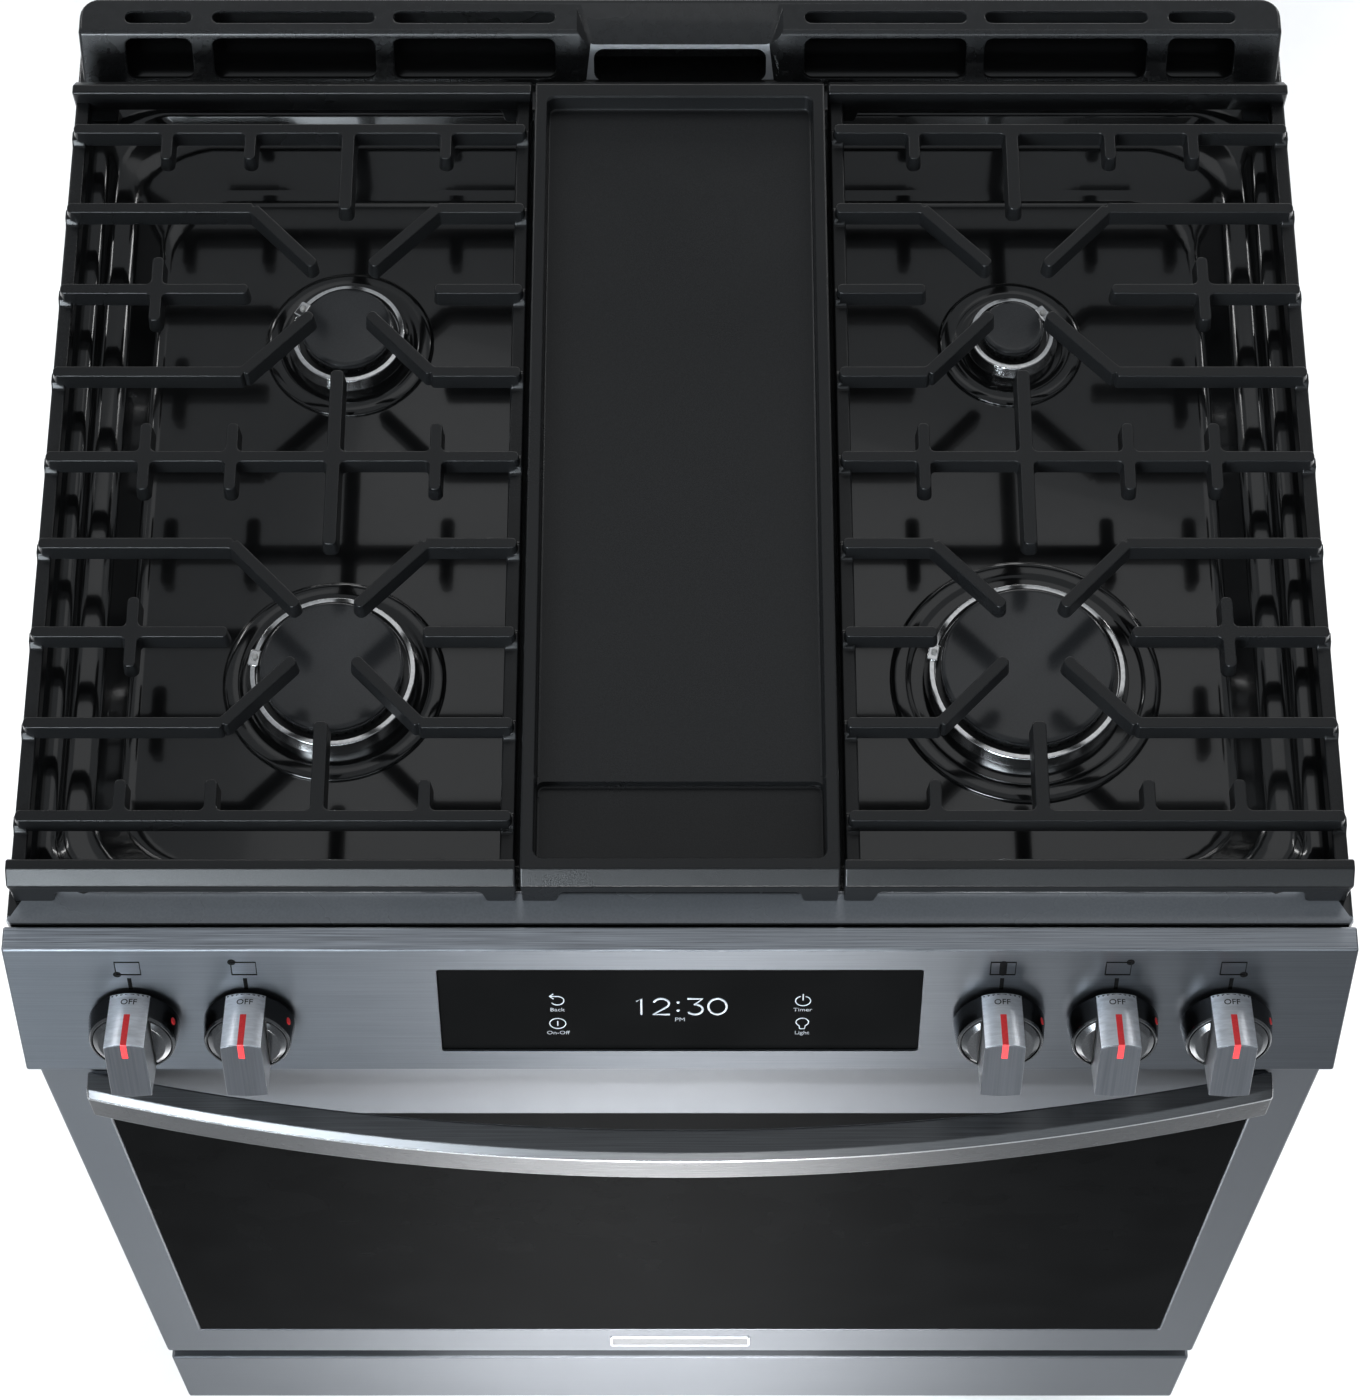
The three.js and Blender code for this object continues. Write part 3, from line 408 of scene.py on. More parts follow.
def blend_of(tree, first, second, share):
    """The product of two colours, by that share."""
    mix = tree.nodes.new("ShaderNodeMix")
    mix.data_type = "RGBA"
    mix.blend_type = "MULTIPLY"
    mix.inputs["Factor"].default_value = share
    tree.links.new(first, mix.inputs["A"])
    tree.links.new(second, mix.inputs["B"])
    return mix.outputs["Result"]


def brushed(name, colour, grain, rough, streak=0.12, depth=0.000008, along=(1, 0, 0)):
    """Brushed steel: fine streaks along the grain, over broad and faint smudges."""
    made, tree, shader = new_material(name)
    fine = noise_of(tree, grain, detail=3.0)
    broad = noise_of(tree, (5, 5, 5), detail=3.0)
    dark = tuple(c * (1 - streak) for c in colour)
    light = tuple(c * (1 + streak) for c in colour)
    streaks = ramp_of(tree, fine, 0.3, 0.7, dark, light)
    smudges = ramp_of(tree, broad, 0.3, 0.7, (0.93, 0.93, 0.94), (1.0, 1.0, 1.0))
    tree.links.new(blend_of(tree, streaks, smudges, 1.0), shader.inputs["Base Color"])
    tree.links.new(range_of(tree, fine, 0.3, 0.7, rough[0], rough[1]), shader.inputs["Roughness"])
    tree.links.new(bump_of(tree, fine, depth), shader.inputs["Normal"])
    tangent = tree.nodes.new("ShaderNodeCombineXYZ")
    for axis, value in zip("XYZ", along):
        tangent.inputs[axis].default_value = value
    tree.links.new(tangent.outputs["Vector"], shader.inputs["Tangent"])
    set_up(shader, Metallic=1.0, Anisotropic=0.85, Anisotropic_Rotation=0.25)
    return made


def painted(name, dark, light, rough, grain=900.0, depth=0.00001, metallic=0.0, ior=1.5, coat=0.0,
            specks=(0.35, 0.65)):
    """Paint, enamel, plastic or plain metal: fine grain and broad patches in colour, gloss and relief."""
    made, tree, shader = new_material(name)
    fine = noise_of(tree, (grain, grain, grain), detail=2.0)
    broad = noise_of(tree, (9, 9, 9), detail=4.0)
    tint = ramp_of(tree, fine, specks[0], specks[1], dark, light)
    patch = ramp_of(tree, broad, 0.3, 0.7, (0.94, 0.94, 0.945), (1.0, 1.0, 1.0))
    tree.links.new(blend_of(tree, tint, patch, 1.0), shader.inputs["Base Color"])
    tree.links.new(range_of(tree, broad, 0.35, 0.65, rough[0], rough[1]), shader.inputs["Roughness"])
    tree.links.new(bump_of(tree, fine, depth), shader.inputs["Normal"])
    set_up(shader, Metallic=metallic, IOR=ior, Coat_Weight=coat, Coat_Roughness=0.03)
    return made


def grey(value, tint=1.0):
    """A near-neutral colour; a tint over 1 is bluer."""
    return (value, value * (1 + (tint - 1) * 0.4), value * tint)


ALONG = (14.0, 1300.0, 1300.0)  # brush marks that run left to right
MATERIALS = {
    "black_stainless": brushed("black_stainless", grey(0.107, 1.16), ALONG, (0.36, 0.42), 0.1),
    # painted light: the control panel's up-facing top strip, a lighter copy of black_stainless
    "strip_stainless": brushed("strip_stainless", grey(0.34, 1.14), ALONG, (0.26, 0.42), 0.34, 0.00003),
    "knob_stainless": brushed("knob_stainless", grey(0.17, 1.16), (700.0, 9.0, 9.0), (0.3, 0.36), 0.12,
                              0.000001, (0, 0, 1)),
    # painted highlight: the knob grips' upward end faces, much lighter than the grip; the same colour serves the
    # badge's bright rim
    "knob_end": brushed("knob_end", grey(0.85, 1.08), (8.0, 500.0, 500.0), (0.34, 0.42), 0.12, 0.000001),
    "rim_enamel": painted("rim_enamel", grey(0.28, 1.12), grey(0.31, 1.12), (0.24, 0.3), 700.0, 0.000004,
                          metallic=0.55),
    # painted light and shade: the handle's faces in lighter and darker copies of the stainless by which way they
    # face, with a painted highlight on the edges; the bevel's copy also colours the badge plate
    "handle_front": brushed("handle_front", grey(0.05, 1.06), ALONG, (0.26, 0.32), 0.06, 0.000004),
    "handle_bevel": brushed("handle_bevel", grey(0.12, 1.04), ALONG, (0.3, 0.4), 0.12),
    "handle_edge": brushed("handle_edge", grey(0.62, 1.02), ALONG, (0.2, 0.26), 0.05, 0.000002),
    "handle_top": brushed("handle_top", grey(0.13, 1.06), ALONG, (0.3, 0.4), 0.2),
    "polished_steel": painted("polished_steel", grey(0.5, 1.03), grey(0.62, 1.03), (0.08, 0.16),
                              metallic=1.0, depth=0.000004),
    "dark_polish": painted("dark_polish", grey(0.11, 1.06), grey(0.13, 1.06), (0.14, 0.2),
                           metallic=1.0, depth=0.000003),
    "cast_iron": painted("cast_iron", grey(0.005, 1.1), grey(0.011, 1.1), (0.27, 0.34), 1400.0,
                         0.00005, ior=1.38),
    "gloss_enamel": painted("gloss_enamel", grey(0.005, 1.05), grey(0.007, 1.05), (0.1, 0.15), 160.0,
                            0.000004, coat=0.25),
    "vent_enamel": painted("vent_enamel", grey(0.012, 1.08), grey(0.015, 1.08), (0.2, 0.28), 160.0,
                           0.000004, coat=0.2, ior=1.42),
    # partly bare metal, partly a painted highlight: the sunk flue panel coloured lighter for the light it catches
    "flue_trim": painted("flue_trim", grey(0.36, 1.08), grey(0.4, 1.08), (0.3, 0.4), 160.0, 0.000004),
    "satin_enamel": painted("satin_enamel", grey(0.012, 1.05), grey(0.016, 1.05), (0.25, 0.33), 700.0,
                            0.00001),
    "cap_enamel": painted("cap_enamel", grey(0.024, 1.12), grey(0.03, 1.12), (0.16, 0.22), 1300.0, 0.000006),
    "cavity_enamel": painted("cavity_enamel", grey(0.014, 1.3), grey(0.2, 1.15), (0.18, 0.3), 420.0,
                             0.00002, coat=0.2, specks=(0.62, 0.74)),
    "side_paint": painted("side_paint", grey(0.018, 1.03), grey(0.024, 1.03), (0.3, 0.4), 500.0,
                          0.00003),
    "galvanised_steel": painted("galvanised_steel", grey(0.42, 1.03), grey(0.56, 1.03), (0.3, 0.5), 60.0,
                                0.00001, metallic=1.0),
    "burner_aluminium": painted("burner_aluminium", grey(0.6), grey(0.72), (0.12, 0.2), 400.0,
                                0.00001, metallic=1.0),
    "burner_steel": painted("burner_steel", grey(0.26), grey(0.4), (0.35, 0.5), 120.0, 0.00002,
                            metallic=1.0),
    "brass": painted("brass", (0.5, 0.33, 0.12), (0.66, 0.46, 0.2), (0.2, 0.32), 300.0, metallic=1.0),
    "dark_glass": painted("dark_glass", grey(0.002, 1.05), grey(0.003, 1.05), (0.02, 0.035), 20.0,
                          0.0000005, ior=1.018),
    "display_glass": painted("display_glass", grey(0.004), grey(0.005), (0.03, 0.05), 20.0, 0.0000005,
                             ior=1.06),
    "chrome_wire": painted("chrome_wire", grey(0.6), grey(0.7), (0.1, 0.2), 200.0, metallic=1.0),
    "glass_wool": painted("glass_wool", (0.5, 0.36, 0.12), (0.85, 0.7, 0.38), (0.85, 0.95), 260.0,
                          0.0006),
    "black_plastic": painted("black_plastic", grey(0.015), grey(0.02), (0.4, 0.5), 800.0, 0.00003),
    "gasket": painted("gasket", grey(0.04), grey(0.1), (0.8, 0.95), 900.0, 0.0003),
    "white_ceramic": painted("white_ceramic", grey(0.6, 0.95), grey(0.72, 0.95), (0.25, 0.4), 500.0),
    "red_mark": painted("red_mark", (0.85, 0.03, 0.035), (0.95, 0.04, 0.045), (0.3, 0.4), 700.0),
    "dark_print": painted("dark_print", grey(0.003), grey(0.005), (0.4, 0.5), 700.0, ior=1.15),
    "label_light": painted("label_light", grey(0.3, 1.1), grey(0.34, 1.1), (0.4, 0.5), 700.0),
    "display_light": painted("display_light", grey(0.6, 1.1), grey(0.7, 1.1), (0.4, 0.5), 700.0),
}
# Variants of one of the record's slots: real finishes, and painted light and shade. The up-facing panel strip, the
# knob ends and the handle's faces are lighter or darker by which way they face, and the flue band is partly bare
# metal, partly a painted highlight.
SLOT_OF = {
    **dict.fromkeys(("strip_stainless", "knob_stainless", "knob_end", "handle_front", "handle_top",
                     "handle_bevel", "handle_edge"), "black_stainless"),
    **dict.fromkeys(("rim_enamel", "vent_enamel", "flue_trim"), "gloss_enamel"),
    "dark_polish": "polished_steel",
    "label_light": "display_light",
}


# ------------------------------------------------------------------ pieces
SHARP = radians(32)


def piece(name, shell, finish, body="range_body", replaces=(), extra=()):
    """A piece of the range from a shell. extra holds (face test, finish) pairs that give chosen faces a second
    finish; some of these are painted light and shade.
    """
    mesh = bpy.data.meshes.new(name)
    mesh.from_pydata([tuple(p * MM) for p in shell[0]], [], shell[1])
    mesh.materials.append(MATERIALS[finish])
    mesh.validate()
    mesh.shade_smooth()
    mesh.set_sharp_from_angle(angle=SHARP)
    for index, (chosen, other) in enumerate(extra, 1):
        mesh.materials.append(MATERIALS[other])
        for face in mesh.polygons:
            if chosen(face.center / MM, face.normal):
                face.material_index = index
    made = placed(name, mesh)
    weights = made.modifiers.new("flat_faces", "WEIGHTED_NORMAL")
    weights.keep_sharp = True
    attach(made, body)
    if replaces:
        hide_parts(*replaces)
    return made


# ------------------------------------------------------------------ camera, floor and lights
PICTURE_WIDTH, PICTURE_HEIGHT = 1362, 1400
FOCAL_LENGTH = 3610  # in the same unit as the picture's size
CAMERA_AT = (0.0, -1.046, 2.7667)
CAMERA_PITCH = 64.85  # degrees below the horizon
LENS_CENTRE = (680, 780)  # where the optical axis meets the picture
SENSOR = 36.0


def add_camera():
    data = bpy.data.cameras.new("camera")
    data.sensor_width = SENSOR
    data.lens = FOCAL_LENGTH / PICTURE_HEIGHT * SENSOR
    data.shift_x = (PICTURE_WIDTH / 2 - LENS_CENTRE[0]) / PICTURE_HEIGHT
    data.shift_y = (LENS_CENTRE[1] - PICTURE_HEIGHT / 2) / PICTURE_HEIGHT
    made = placed("camera", data)
    made.location = CAMERA_AT
    made.rotation_euler = (radians(90 - CAMERA_PITCH), 0, 0)
    bpy.context.scene.camera = made


def softbox(name, at, aim, size, watts, spread=180, colour=(1, 1, 1)):
    """A rectangular area light, turned from its place towards a point."""
    data = bpy.data.lights.new(name, "AREA")
    data.shape = "RECTANGLE"
    data.size, data.size_y = size
    data.energy = watts
    data.spread = radians(spread)
    data.color = colour
    made = placed(name, data)
    made.location = at
    made.rotation_euler = (Vector(at) - Vector(aim)).to_track_quat("Z", "Y").to_euler()


COOL = (0.84, 0.93, 1.0)
FLOOR_REACH = 14.0


def add_studio():
    scene = bpy.context.scene
    scene.view_settings.view_transform = "Standard"
    world = bpy.data.worlds.new("studio")
    world.use_nodes = True
    sky = world.node_tree.nodes["Background"]
    sky.inputs["Color"].default_value = (0.9, 0.95, 1.0, 1)
    sky.inputs["Strength"].default_value = 0.4
    scene.world = world
    softbox("front_box", (-1.3, -3.2, 1.9), (0, -0.25, 0.92), (1.6, 1.2), 12, 40, COOL)
    softbox("strip_box", (0.03, -2.3, 0.4), (0, -0.3, 0.3), (0.4, 0.6), 3.6, 60)
    softbox("pool_box", (-0.04, -0.68, 0.42), (-0.04, -0.68, 0), (0.3, 0.6), 4.5, 80)
    softbox("fill_box", (0.3, -3.4, 1.85), (0, 0, 0.9), (3.0, 0.5), 8, 120, COOL)
    for side in (-1, 1):
        softbox(f"side_box_{side}", (side * 1.9, 2.2, 2.4), (0, 0, 0.9), (0.12, 1.8), 9)
        softbox(f"floor_box_{side}", (side * 1.15, 0.1, 0.8), (side * 1.15, 0.1, 0), (0.5, 1.6), 12, 130)
    softbox("top_box", (0.25, 0.85, 3.0), (0, 0, 0.8), (1.5, 0.8), 1.5)
    softbox("rear_box", (0.3, 3.2, 1.9), (0, 0, 0.8), (2.6, 0.8), 30)
    add_floor()


def add_floor():
    mesh = bpy.data.meshes.new("floor")
    corners = rectangle((-FLOOR_REACH, FLOOR_REACH), (-FLOOR_REACH, FLOOR_REACH))
    mesh.from_pydata([(x, y, 0) for x, y in corners], [], [(0, 1, 2, 3)])
    floor = placed("floor", mesh)
    mesh.materials.append(painted("floor", grey(0.93, 1.01), grey(0.95, 1.01), (0.6, 0.7), 3.0))


# ------------------------------------------------------------------ control panel
def joint(name):
    return next(j for j in frame["joints"] if j["name"] == name)


KNOB_AT = {name: Vector(joint(f"knob_turn_{name}")["pos_m"]) / MM for name in BURNERS}
OUT = Vector(joint("knob_turn_center")["axis"]).normalized()  # out of the panel's face
UP = Vector((0, OUT.z, -OUT.y))  # up the face
KNOB_ROW = Vector((0, KNOB_AT["center"].y, KNOB_AT["center"].z))
# On the panel, u runs right, v up the face from the row of knobs, and w out of it.
ON_PANEL = basis((1, 0, 0), UP, OUT, KNOB_ROW)
PANEL_TOP, PANEL_BOTTOM = 58.0, -52.0
WINDOW_U = 137.3
WINDOW_V = (-32.5, 41.0)
SHEET = 2.0
PRINT_RISE = 0.12  # how far printed marks stand off their surface
ICON_UP = 42.3  # the burner signs' middle
TICK_V = (24.0, 33.5)


def add_control_panel():
    low, high = span("control_panel")
    top = ON_PANEL @ Vector((0, PANEL_TOP, 0))
    bottom = ON_PANEL @ Vector((0, PANEL_BOTTOM, 0))
    corners = [(bottom.y, bottom.z), (high.y, bottom.z), (high.y, top.z), (top.y, top.z)]
    skin = moved(plate([rounded(corners, [2.5, 0.6, 1.5, 2.0], 15)],
                       edged(low.x, high.x, 1.4, 1.4)), ALONG_X)
    lean = Vector((OUT.y, OUT.z)) * -SHEET
    inner = [(bottom.y + lean.x, bottom.z + SHEET), (high.y + 9, bottom.z + SHEET),
             (high.y + 9, top.z - SHEET), (top.y + lean.x * 1.2, top.z - SHEET)]
    hollow = moved(plate([inner], [(low.x + SHEET, 0), (high.x - SHEET, 0)]), ALONG_X)
    window = moved(plate([rectangle((-WINDOW_U, WINDOW_U), WINDOW_V, 2.0)], [(-9, 0), (9, 0)]),
                   ON_PANEL)
    holes = [moved(plate([circle(at.x, 0, 5.6, 24)], [(-9, 0), (9, 0)]), ON_PANEL)
             for at in KNOB_AT.values()]
    # Painted light: the up-facing top strip gets a lighter copy of the stainless.
    top_strip = (lambda centre, normal: normal.z > 0.8 and centre.z > top.z - 3, "strip_stainless")
    piece("control_panel_skin", cut(skin, hollow, window, *holes), "black_stainless",
          replaces=["control_panel"], extra=[top_strip])
    glass = plate([rectangle((-WINDOW_U - 4, WINDOW_U + 4), (WINDOW_V[0] - 4, WINDOW_V[1] + 4), 3)],
                  edged(-4.6, -2.2, 0.3, 0.3, 2))
    piece("display_panel", moved(glass, ON_PANEL), "display_glass", replaces=["display_glass"])


def stroke(points, width, height):
    """A printed line along (u, v) points, standing on the panel plane at that height."""
    path = [Vector((u, v, height)) for u, v in points]
    return tube(path, width / 2, 8)


def lettering(words, size, at, height):
    """Flat letters, as a shell on the panel plane, centred on a point."""
    curve = bpy.data.curves.new("words", "FONT")
    curve.body = words
    curve.size = size
    curve.extrude = 0.05
    curve.resolution_u = 3
    curve.align_x, curve.align_y = "CENTER", "CENTER"
    scratch = placed("words", curve)
    shell = shell_of(scratch)
    bpy.data.objects.remove(scratch)
    bpy.data.curves.remove(curve)
    return shifted(shell, at[0], at[1], height)


def clock_digits():
    """12:30 in thin strokes, each digit in its own box 9.4 wide and 14 high."""
    half, wide = 7.0, 5.2
    one = [[(-2.2, 4.6), (0.6, half), (0.6, -half)]]
    two = [arc(0, 2.6, 4.4, 160, -38, 12) + [(-4.6, -half), (4.9, -half)]]
    three = [[(-4.4, half), (4.2, half), (-0.4, 1.6)] + arc(0, -2.7, 4.4, 78, -150, 14)]
    nought = [[(wide * cos(t), half * sin(t)) for t in [2 * pi * i / 30 for i in range(31)]]]
    dots = [arc(0, v, 0.35, 0, 330, 8) for v in (-3.6, 3.6)]
    signs = ((-22.6, one), (-10.6, two), (-1.0, dots), (8.6, three), (21.4, nought))
    return [[(u + du, v) for u, v in line] for du, lines in signs for line in lines]


def add_display_marks():
    glass = -2.15
    clock = [stroke([(u, v + 5.8) for u, v in line], 1.25, glass) for line in clock_digits()]
    words = [("PM", 4.8, (0, -6.2)), ("Back", 4.4, (-70, 2.7)), ("On-Off", 4.4, (-70, -18.2)),
             ("Timer", 4.4, (70, 2.7)), ("Light", 4.4, (70, -18.2))]
    letters = [lettering(text, size, at, glass) for text, size, at in words]
    back = [arc(-69.8, 11, 3.8, -150, 95, 16) + [(-73.8, 14.8)], [(-72, 17), (-74.2, 14.8), (-72, 12.6)]]
    on_off = [arc(-70, -9.6, 4.6, 0, 360, 24), [(-70, -11.6), (-70, -7.6)]]
    timer = [arc(70, 10.8, 4.3, 110, 430, 22), [(70, 11.4), (70, 16.8)]]
    bulb = [[(68.6, -14.4), (68.2, -11.6)] + arc(70, -8.4, 3.6, 235, -55, 16)
            + [(71.8, -11.6), (71.4, -14.4), (68.6, -14.4)]]
    icons = [stroke(line, 0.62, glass) for line in back + on_off + timer + bulb]
    shell = moved(merged(*clock, *icons), ON_PANEL)
    piece("display_characters", shell, "display_light")
    piece("display_labels", moved(merged(*letters), ON_PANEL), "label_light")


def burner_sign(name):
    """A small rectangle for the cooktop, with a dot where the burner is."""
    half_u, half_v = 7.0, 5.4
    frame_line = stroke([(-half_u, -half_v), (half_u, -half_v), (half_u, half_v), (-half_u, half_v),
                         (-half_u, -half_v)], 0.85, PRINT_RISE)
    side, row = side_and_row(name)
    if side:
        dot = plate([circle(side * (half_u - 0.6), row * half_v, 2.3, 20)],
                    [(0, 0), (2 * PRINT_RISE, 0)])
    else:
        dot = plate([rectangle((-2.1, 2.1), (-half_v - 0.8, half_v + 0.8), 2.05)],
                    [(0, 0), (2 * PRINT_RISE, 0)])
    return merged(frame_line, dot)


def add_panel_marks():
    for name, at in KNOB_AT.items():
        sign = shifted(burner_sign(name), at.x, ICON_UP, 0)
        tick = shifted(plate([rectangle((-1.15, 1.15), TICK_V)], [(0, 0), (2 * PRINT_RISE, 0)]), at.x)
        piece(f"burner_sign_{name}", moved(merged(sign, tick), ON_PANEL), "dark_print")


# ------------------------------------------------------------------ knobs
KNOB_RADIUS = 26.0
KNOB_FACE = 42.0  # the grip's front above the panel
KNOB_CLEAR = 4.5  # the gap behind a knob, which closes when it is pushed in
GRIP_HALF = 11.5
SKIRT_TOP = 19.8
SKIRT_FLOOR = 17.6  # the skirt's own face, under the grip and the cheeks
STEM_BORE = 3.9
MOON_INNER = 18.8


def grip_ring(height, amount=0.0):
    """The grip's outline at a height above the panel: its lower end slopes in as it rises."""
    reach = degrees(asin(GRIP_HALF / KNOB_RADIUS))
    foot = 25.2 - 4.0 * height / KNOB_FACE
    upper = arc(0, 0, KNOB_RADIUS, 90 - reach, 90 + reach, 8)
    lower = [(-GRIP_HALF, -foot + 1.4), (0, -foot), (GRIP_HALF, -foot + 1.4)]
    outline = upper + lower
    radii = [0.6] + [0] * 7 + [0.6, 0.8, 12, 0.8]
    return [(u, v, height) for u, v in inset(rounded(outline, radii, 20), amount)]


def moon_ring(side, radius, height):
    """Half of the knob's top, beside the grip."""
    flat = GRIP_HALF + 1.0
    reach = 90 - degrees(asin(flat / radius))
    points = arc(0, 0, radius, -reach, reach, 20)
    if side < 0:
        points = [(-u, v) for u, v in points][::-1]
    return [(u, v, height) for u, v in points]


def knob_skirt():
    """The knob's round base, bored for the stem."""
    profile = [(0, KNOB_CLEAR), (25.2, KNOB_CLEAR), (26, KNOB_CLEAR + 0.8), (25.9, KNOB_CLEAR + 3),
               (24.6, 18.4), (24.2, 19.3), (23.6, SKIRT_TOP), (22.9, SKIRT_TOP), (22.7, SKIRT_FLOOR),
               (0, SKIRT_FLOOR)]
    bore = plate([circle(0, 0, STEM_BORE, 20)], [(-5, 0), (SKIRT_FLOOR - 1.1, 0)])
    return cut(turned(profile, 64), bore)


def knob_cheeks():
    levels = [(16.8, 22.2), (19.6, 22.2), (20.0, 21.9), (21.6, MOON_INNER + 0.3), (21.7, MOON_INNER)]
    moons = [lofted([moon_ring(side, radius, height) for height, radius in levels])
             for side in (-1, 1)]
    return merged(*moons)


def knob_grip():
    rings = [grip_ring(KNOB_CLEAR + 0.2), grip_ring(KNOB_FACE - 0.8)]
    rings += [grip_ring(h, a) for h, a in edged(KNOB_FACE - 0.7, KNOB_FACE, 0, 0.6, 3)[1:]]
    return lofted(rings)


def knob_pieces(name, at):
    body = f"knob_body_{name}"
    place = basis((1, 0, 0), UP, OUT, at)
    piece(f"knob_skirt_{name}", moved(knob_skirt(), place), "dark_polish", body,
          replaces=[f"knob_{name}"])
    piece(f"knob_cheeks_{name}", moved(knob_cheeks(), place), "dark_polish", body)
    # Painted highlight: the grip's upward end face gets a much lighter copy of the stainless.
    end = (lambda centre, normal: normal.dot(UP) > 0.75, "knob_end")
    piece(f"knob_grip_{name}", moved(knob_grip(), place), "knob_stainless", body, extra=[end])
    disc = turned([(0, 17.4), (22.6, 17.4), (22.6, 17.8), (0, 17.8)], 48)
    piece(f"knob_gap_{name}", moved(disc, place), "black_plastic", body)
    piece(f"knob_word_{name}", moved(bent(lettering("OFF", 5.4, (0, 0), 0), 11.0), place),
          "dark_print", body)
    piece(f"knob_mark_{name}", moved(merged(red_stripe(), red_dot()), place), "red_mark", body)


def bent(shell, height):
    """Flat marks wrapped on the grip's curved end, that far above the panel."""
    points = []
    for p in shell[0]:
        t = p.x / KNOB_RADIUS
        radius = KNOB_RADIUS + p.z + 0.06
        points.append(Vector((radius * sin(t), radius * cos(t), height - p.y)))
    return points, shell[1]


def red_stripe():
    """A stripe down the grip's end, over its edge and onto its face."""
    half, rise, start, stop = 1.75, 0.1, 20.0, 14.0
    rows = [(0.0, start), (0.0, KNOB_FACE - 0.6), (0.15, KNOB_FACE - 0.25), (0.6, KNOB_FACE)]
    outer, inner = [], []
    for back, height in rows:
        outer.append((KNOB_RADIUS - back + rise, height + (rise if back else 0)))
        inner.append((KNOB_RADIUS - back - 0.4, height - (0.4 if back else 0)))
    outer.append((stop, KNOB_FACE + rise))
    inner.append((stop, KNOB_FACE - 0.4))
    outline = outer + inner[::-1]
    rings = []
    for i in range(5):
        u = -half + 2 * half * i / 4
        sag = KNOB_RADIUS - sqrt(KNOB_RADIUS ** 2 - u * u)
        rings.append([(u, v - (sag if v > stop + 1 else 0), w) for v, w in outline])
    return lofted(rings)


def red_dot():
    dot = turned([(0, -0.5), (2.2, -0.5), (2.2, 0.12), (1.8, 0.3), (0, 0.3)], 20)
    t = radians(22)
    away = Vector((cos(t), sin(t), 0))
    across = Vector((-sin(t), cos(t), 0))
    return moved(dot, basis(across, (0, 0, 1), away, away * 25.4 + Vector((0, 0, 11.5))))


def add_knobs():
    for name, at in KNOB_AT.items():
        knob_pieces(name, at)


# ------------------------------------------------------------------ grates and griddle
GRATE_TOP = 930.0
FOOT_BOTTOM = 897.8
GRATE_SIDES = (91.7, 375.5)  # a grate's inner and outer edge
GRATE_ENDS = (-245.6, 298.6)
BURNER_X = 203.5
MIDDLE_Y = 26.5
REACH_Y = 116.0  # a burner's centre from the middle bar
BAR_PITCH = 58.0
BAR_HALF = 3.5
BAR_DEPTH = 13.0
BAR_EDGE = 0.9  # the radius along a bar's top
FINGER = 22.5
STUB_GAP = 56.0
ARM_GAP = 17.0
FINGER_OFFSETS = (111.0, 60.0, -60.0)  # from the burner, across the grate
NOSE = 7.6  # the chamfer along a grate's front
NOSE_DEPTH = 14.0
SKIRT_BACK = 1.5  # how far the nose's lower face is set back
RAIL_TOP = 919.0
RAIL_HALF = 4.2


def bar_outline(start, end, half):
    start, end = Vector(start), Vector(end)
    side = (end - start).normalized().orthogonal() * half
    return [tuple(p) for p in (start - side, end - side, end + side, start + side)]


def outline_of(bars):
    """The loops round flat bars laid over each other, with round corners."""
    slabs = []
    for start, end, half in bars:
        loop = bar_outline(start, end, half)
        slabs.append(plate([loop if area(loop) > 0 else loop[::-1]], [(0, 0), (1, 0)]))
    points, faces = join(*slabs)
    edges = set()
    for face in faces:
        if all(points[i].z > 0.5 for i in face):
            edges |= set(zip(face, face[1:] + face[:1]))
    ahead = {a: b for a, b in edges if (b, a) not in edges}
    loops = []
    while ahead:
        start = next(iter(ahead))
        loop, here = [], start
        while here in ahead:
            loop.append(points[here].to_2d())
            here = ahead.pop(here)
        loops.append(corners_only(loop))
    return loops


def corners_only(loop):
    kept = []
    for i, here in enumerate(loop):
        before = here - loop[i - 1]
        after = loop[(i + 1) % len(loop)] - here
        if before.length > 0.02 and abs(before.normalized().cross(after.normalized())) > 0.02:
            kept.append(here)
    return [tuple(p) for p in kept]


def softened(loop, convex, concave):
    radii = []
    for i, here in enumerate(loop):
        before = Vector(here) - Vector(loop[i - 1])
        after = Vector(loop[(i + 1) % len(loop)]) - Vector(here)
        radii.append(convex if before.cross(after) > 0 else concave)
    return rounded(loop, radii, 22)


def comb(y, sides):
    inner, outer = GRATE_SIDES
    rows = [((inner + 3, y), (outer - 3, y), BAR_HALF)]
    for side in sides:
        rows += [((BURNER_X + off, y), (BURNER_X + off, y + side * FINGER), BAR_HALF)
                 for off in FINGER_OFFSETS]
        rows.append(((BURNER_X, y), (BURNER_X, y + side * (BAR_PITCH + 1)), BAR_HALF + 0.5))
    return rows


def burner_bars(y):
    inner, outer = GRATE_SIDES
    beyond, before = BURNER_X + STUB_GAP, BURNER_X - STUB_GAP
    cross = BURNER_X + FINGER_OFFSETS[0]
    rows = [((outer - 3, y), (beyond, y), BAR_HALF), ((before, y), (inner + 3, y), BAR_HALF),
            ((cross, y - FINGER), (cross, y + FINGER), BAR_HALF)]
    for side in (-1, 1):
        bar_y, tip = y + side * BAR_PITCH, y + side * ARM_GAP
        rows += [((outer - 3, bar_y), (beyond, bar_y), BAR_HALF),
                 ((beyond, bar_y), (BURNER_X + ARM_GAP, tip), BAR_HALF),
                 ((inner + 3, bar_y), (before, bar_y), BAR_HALF),
                 ((before, bar_y), (BURNER_X - ARM_GAP, tip), BAR_HALF)]
    return rows


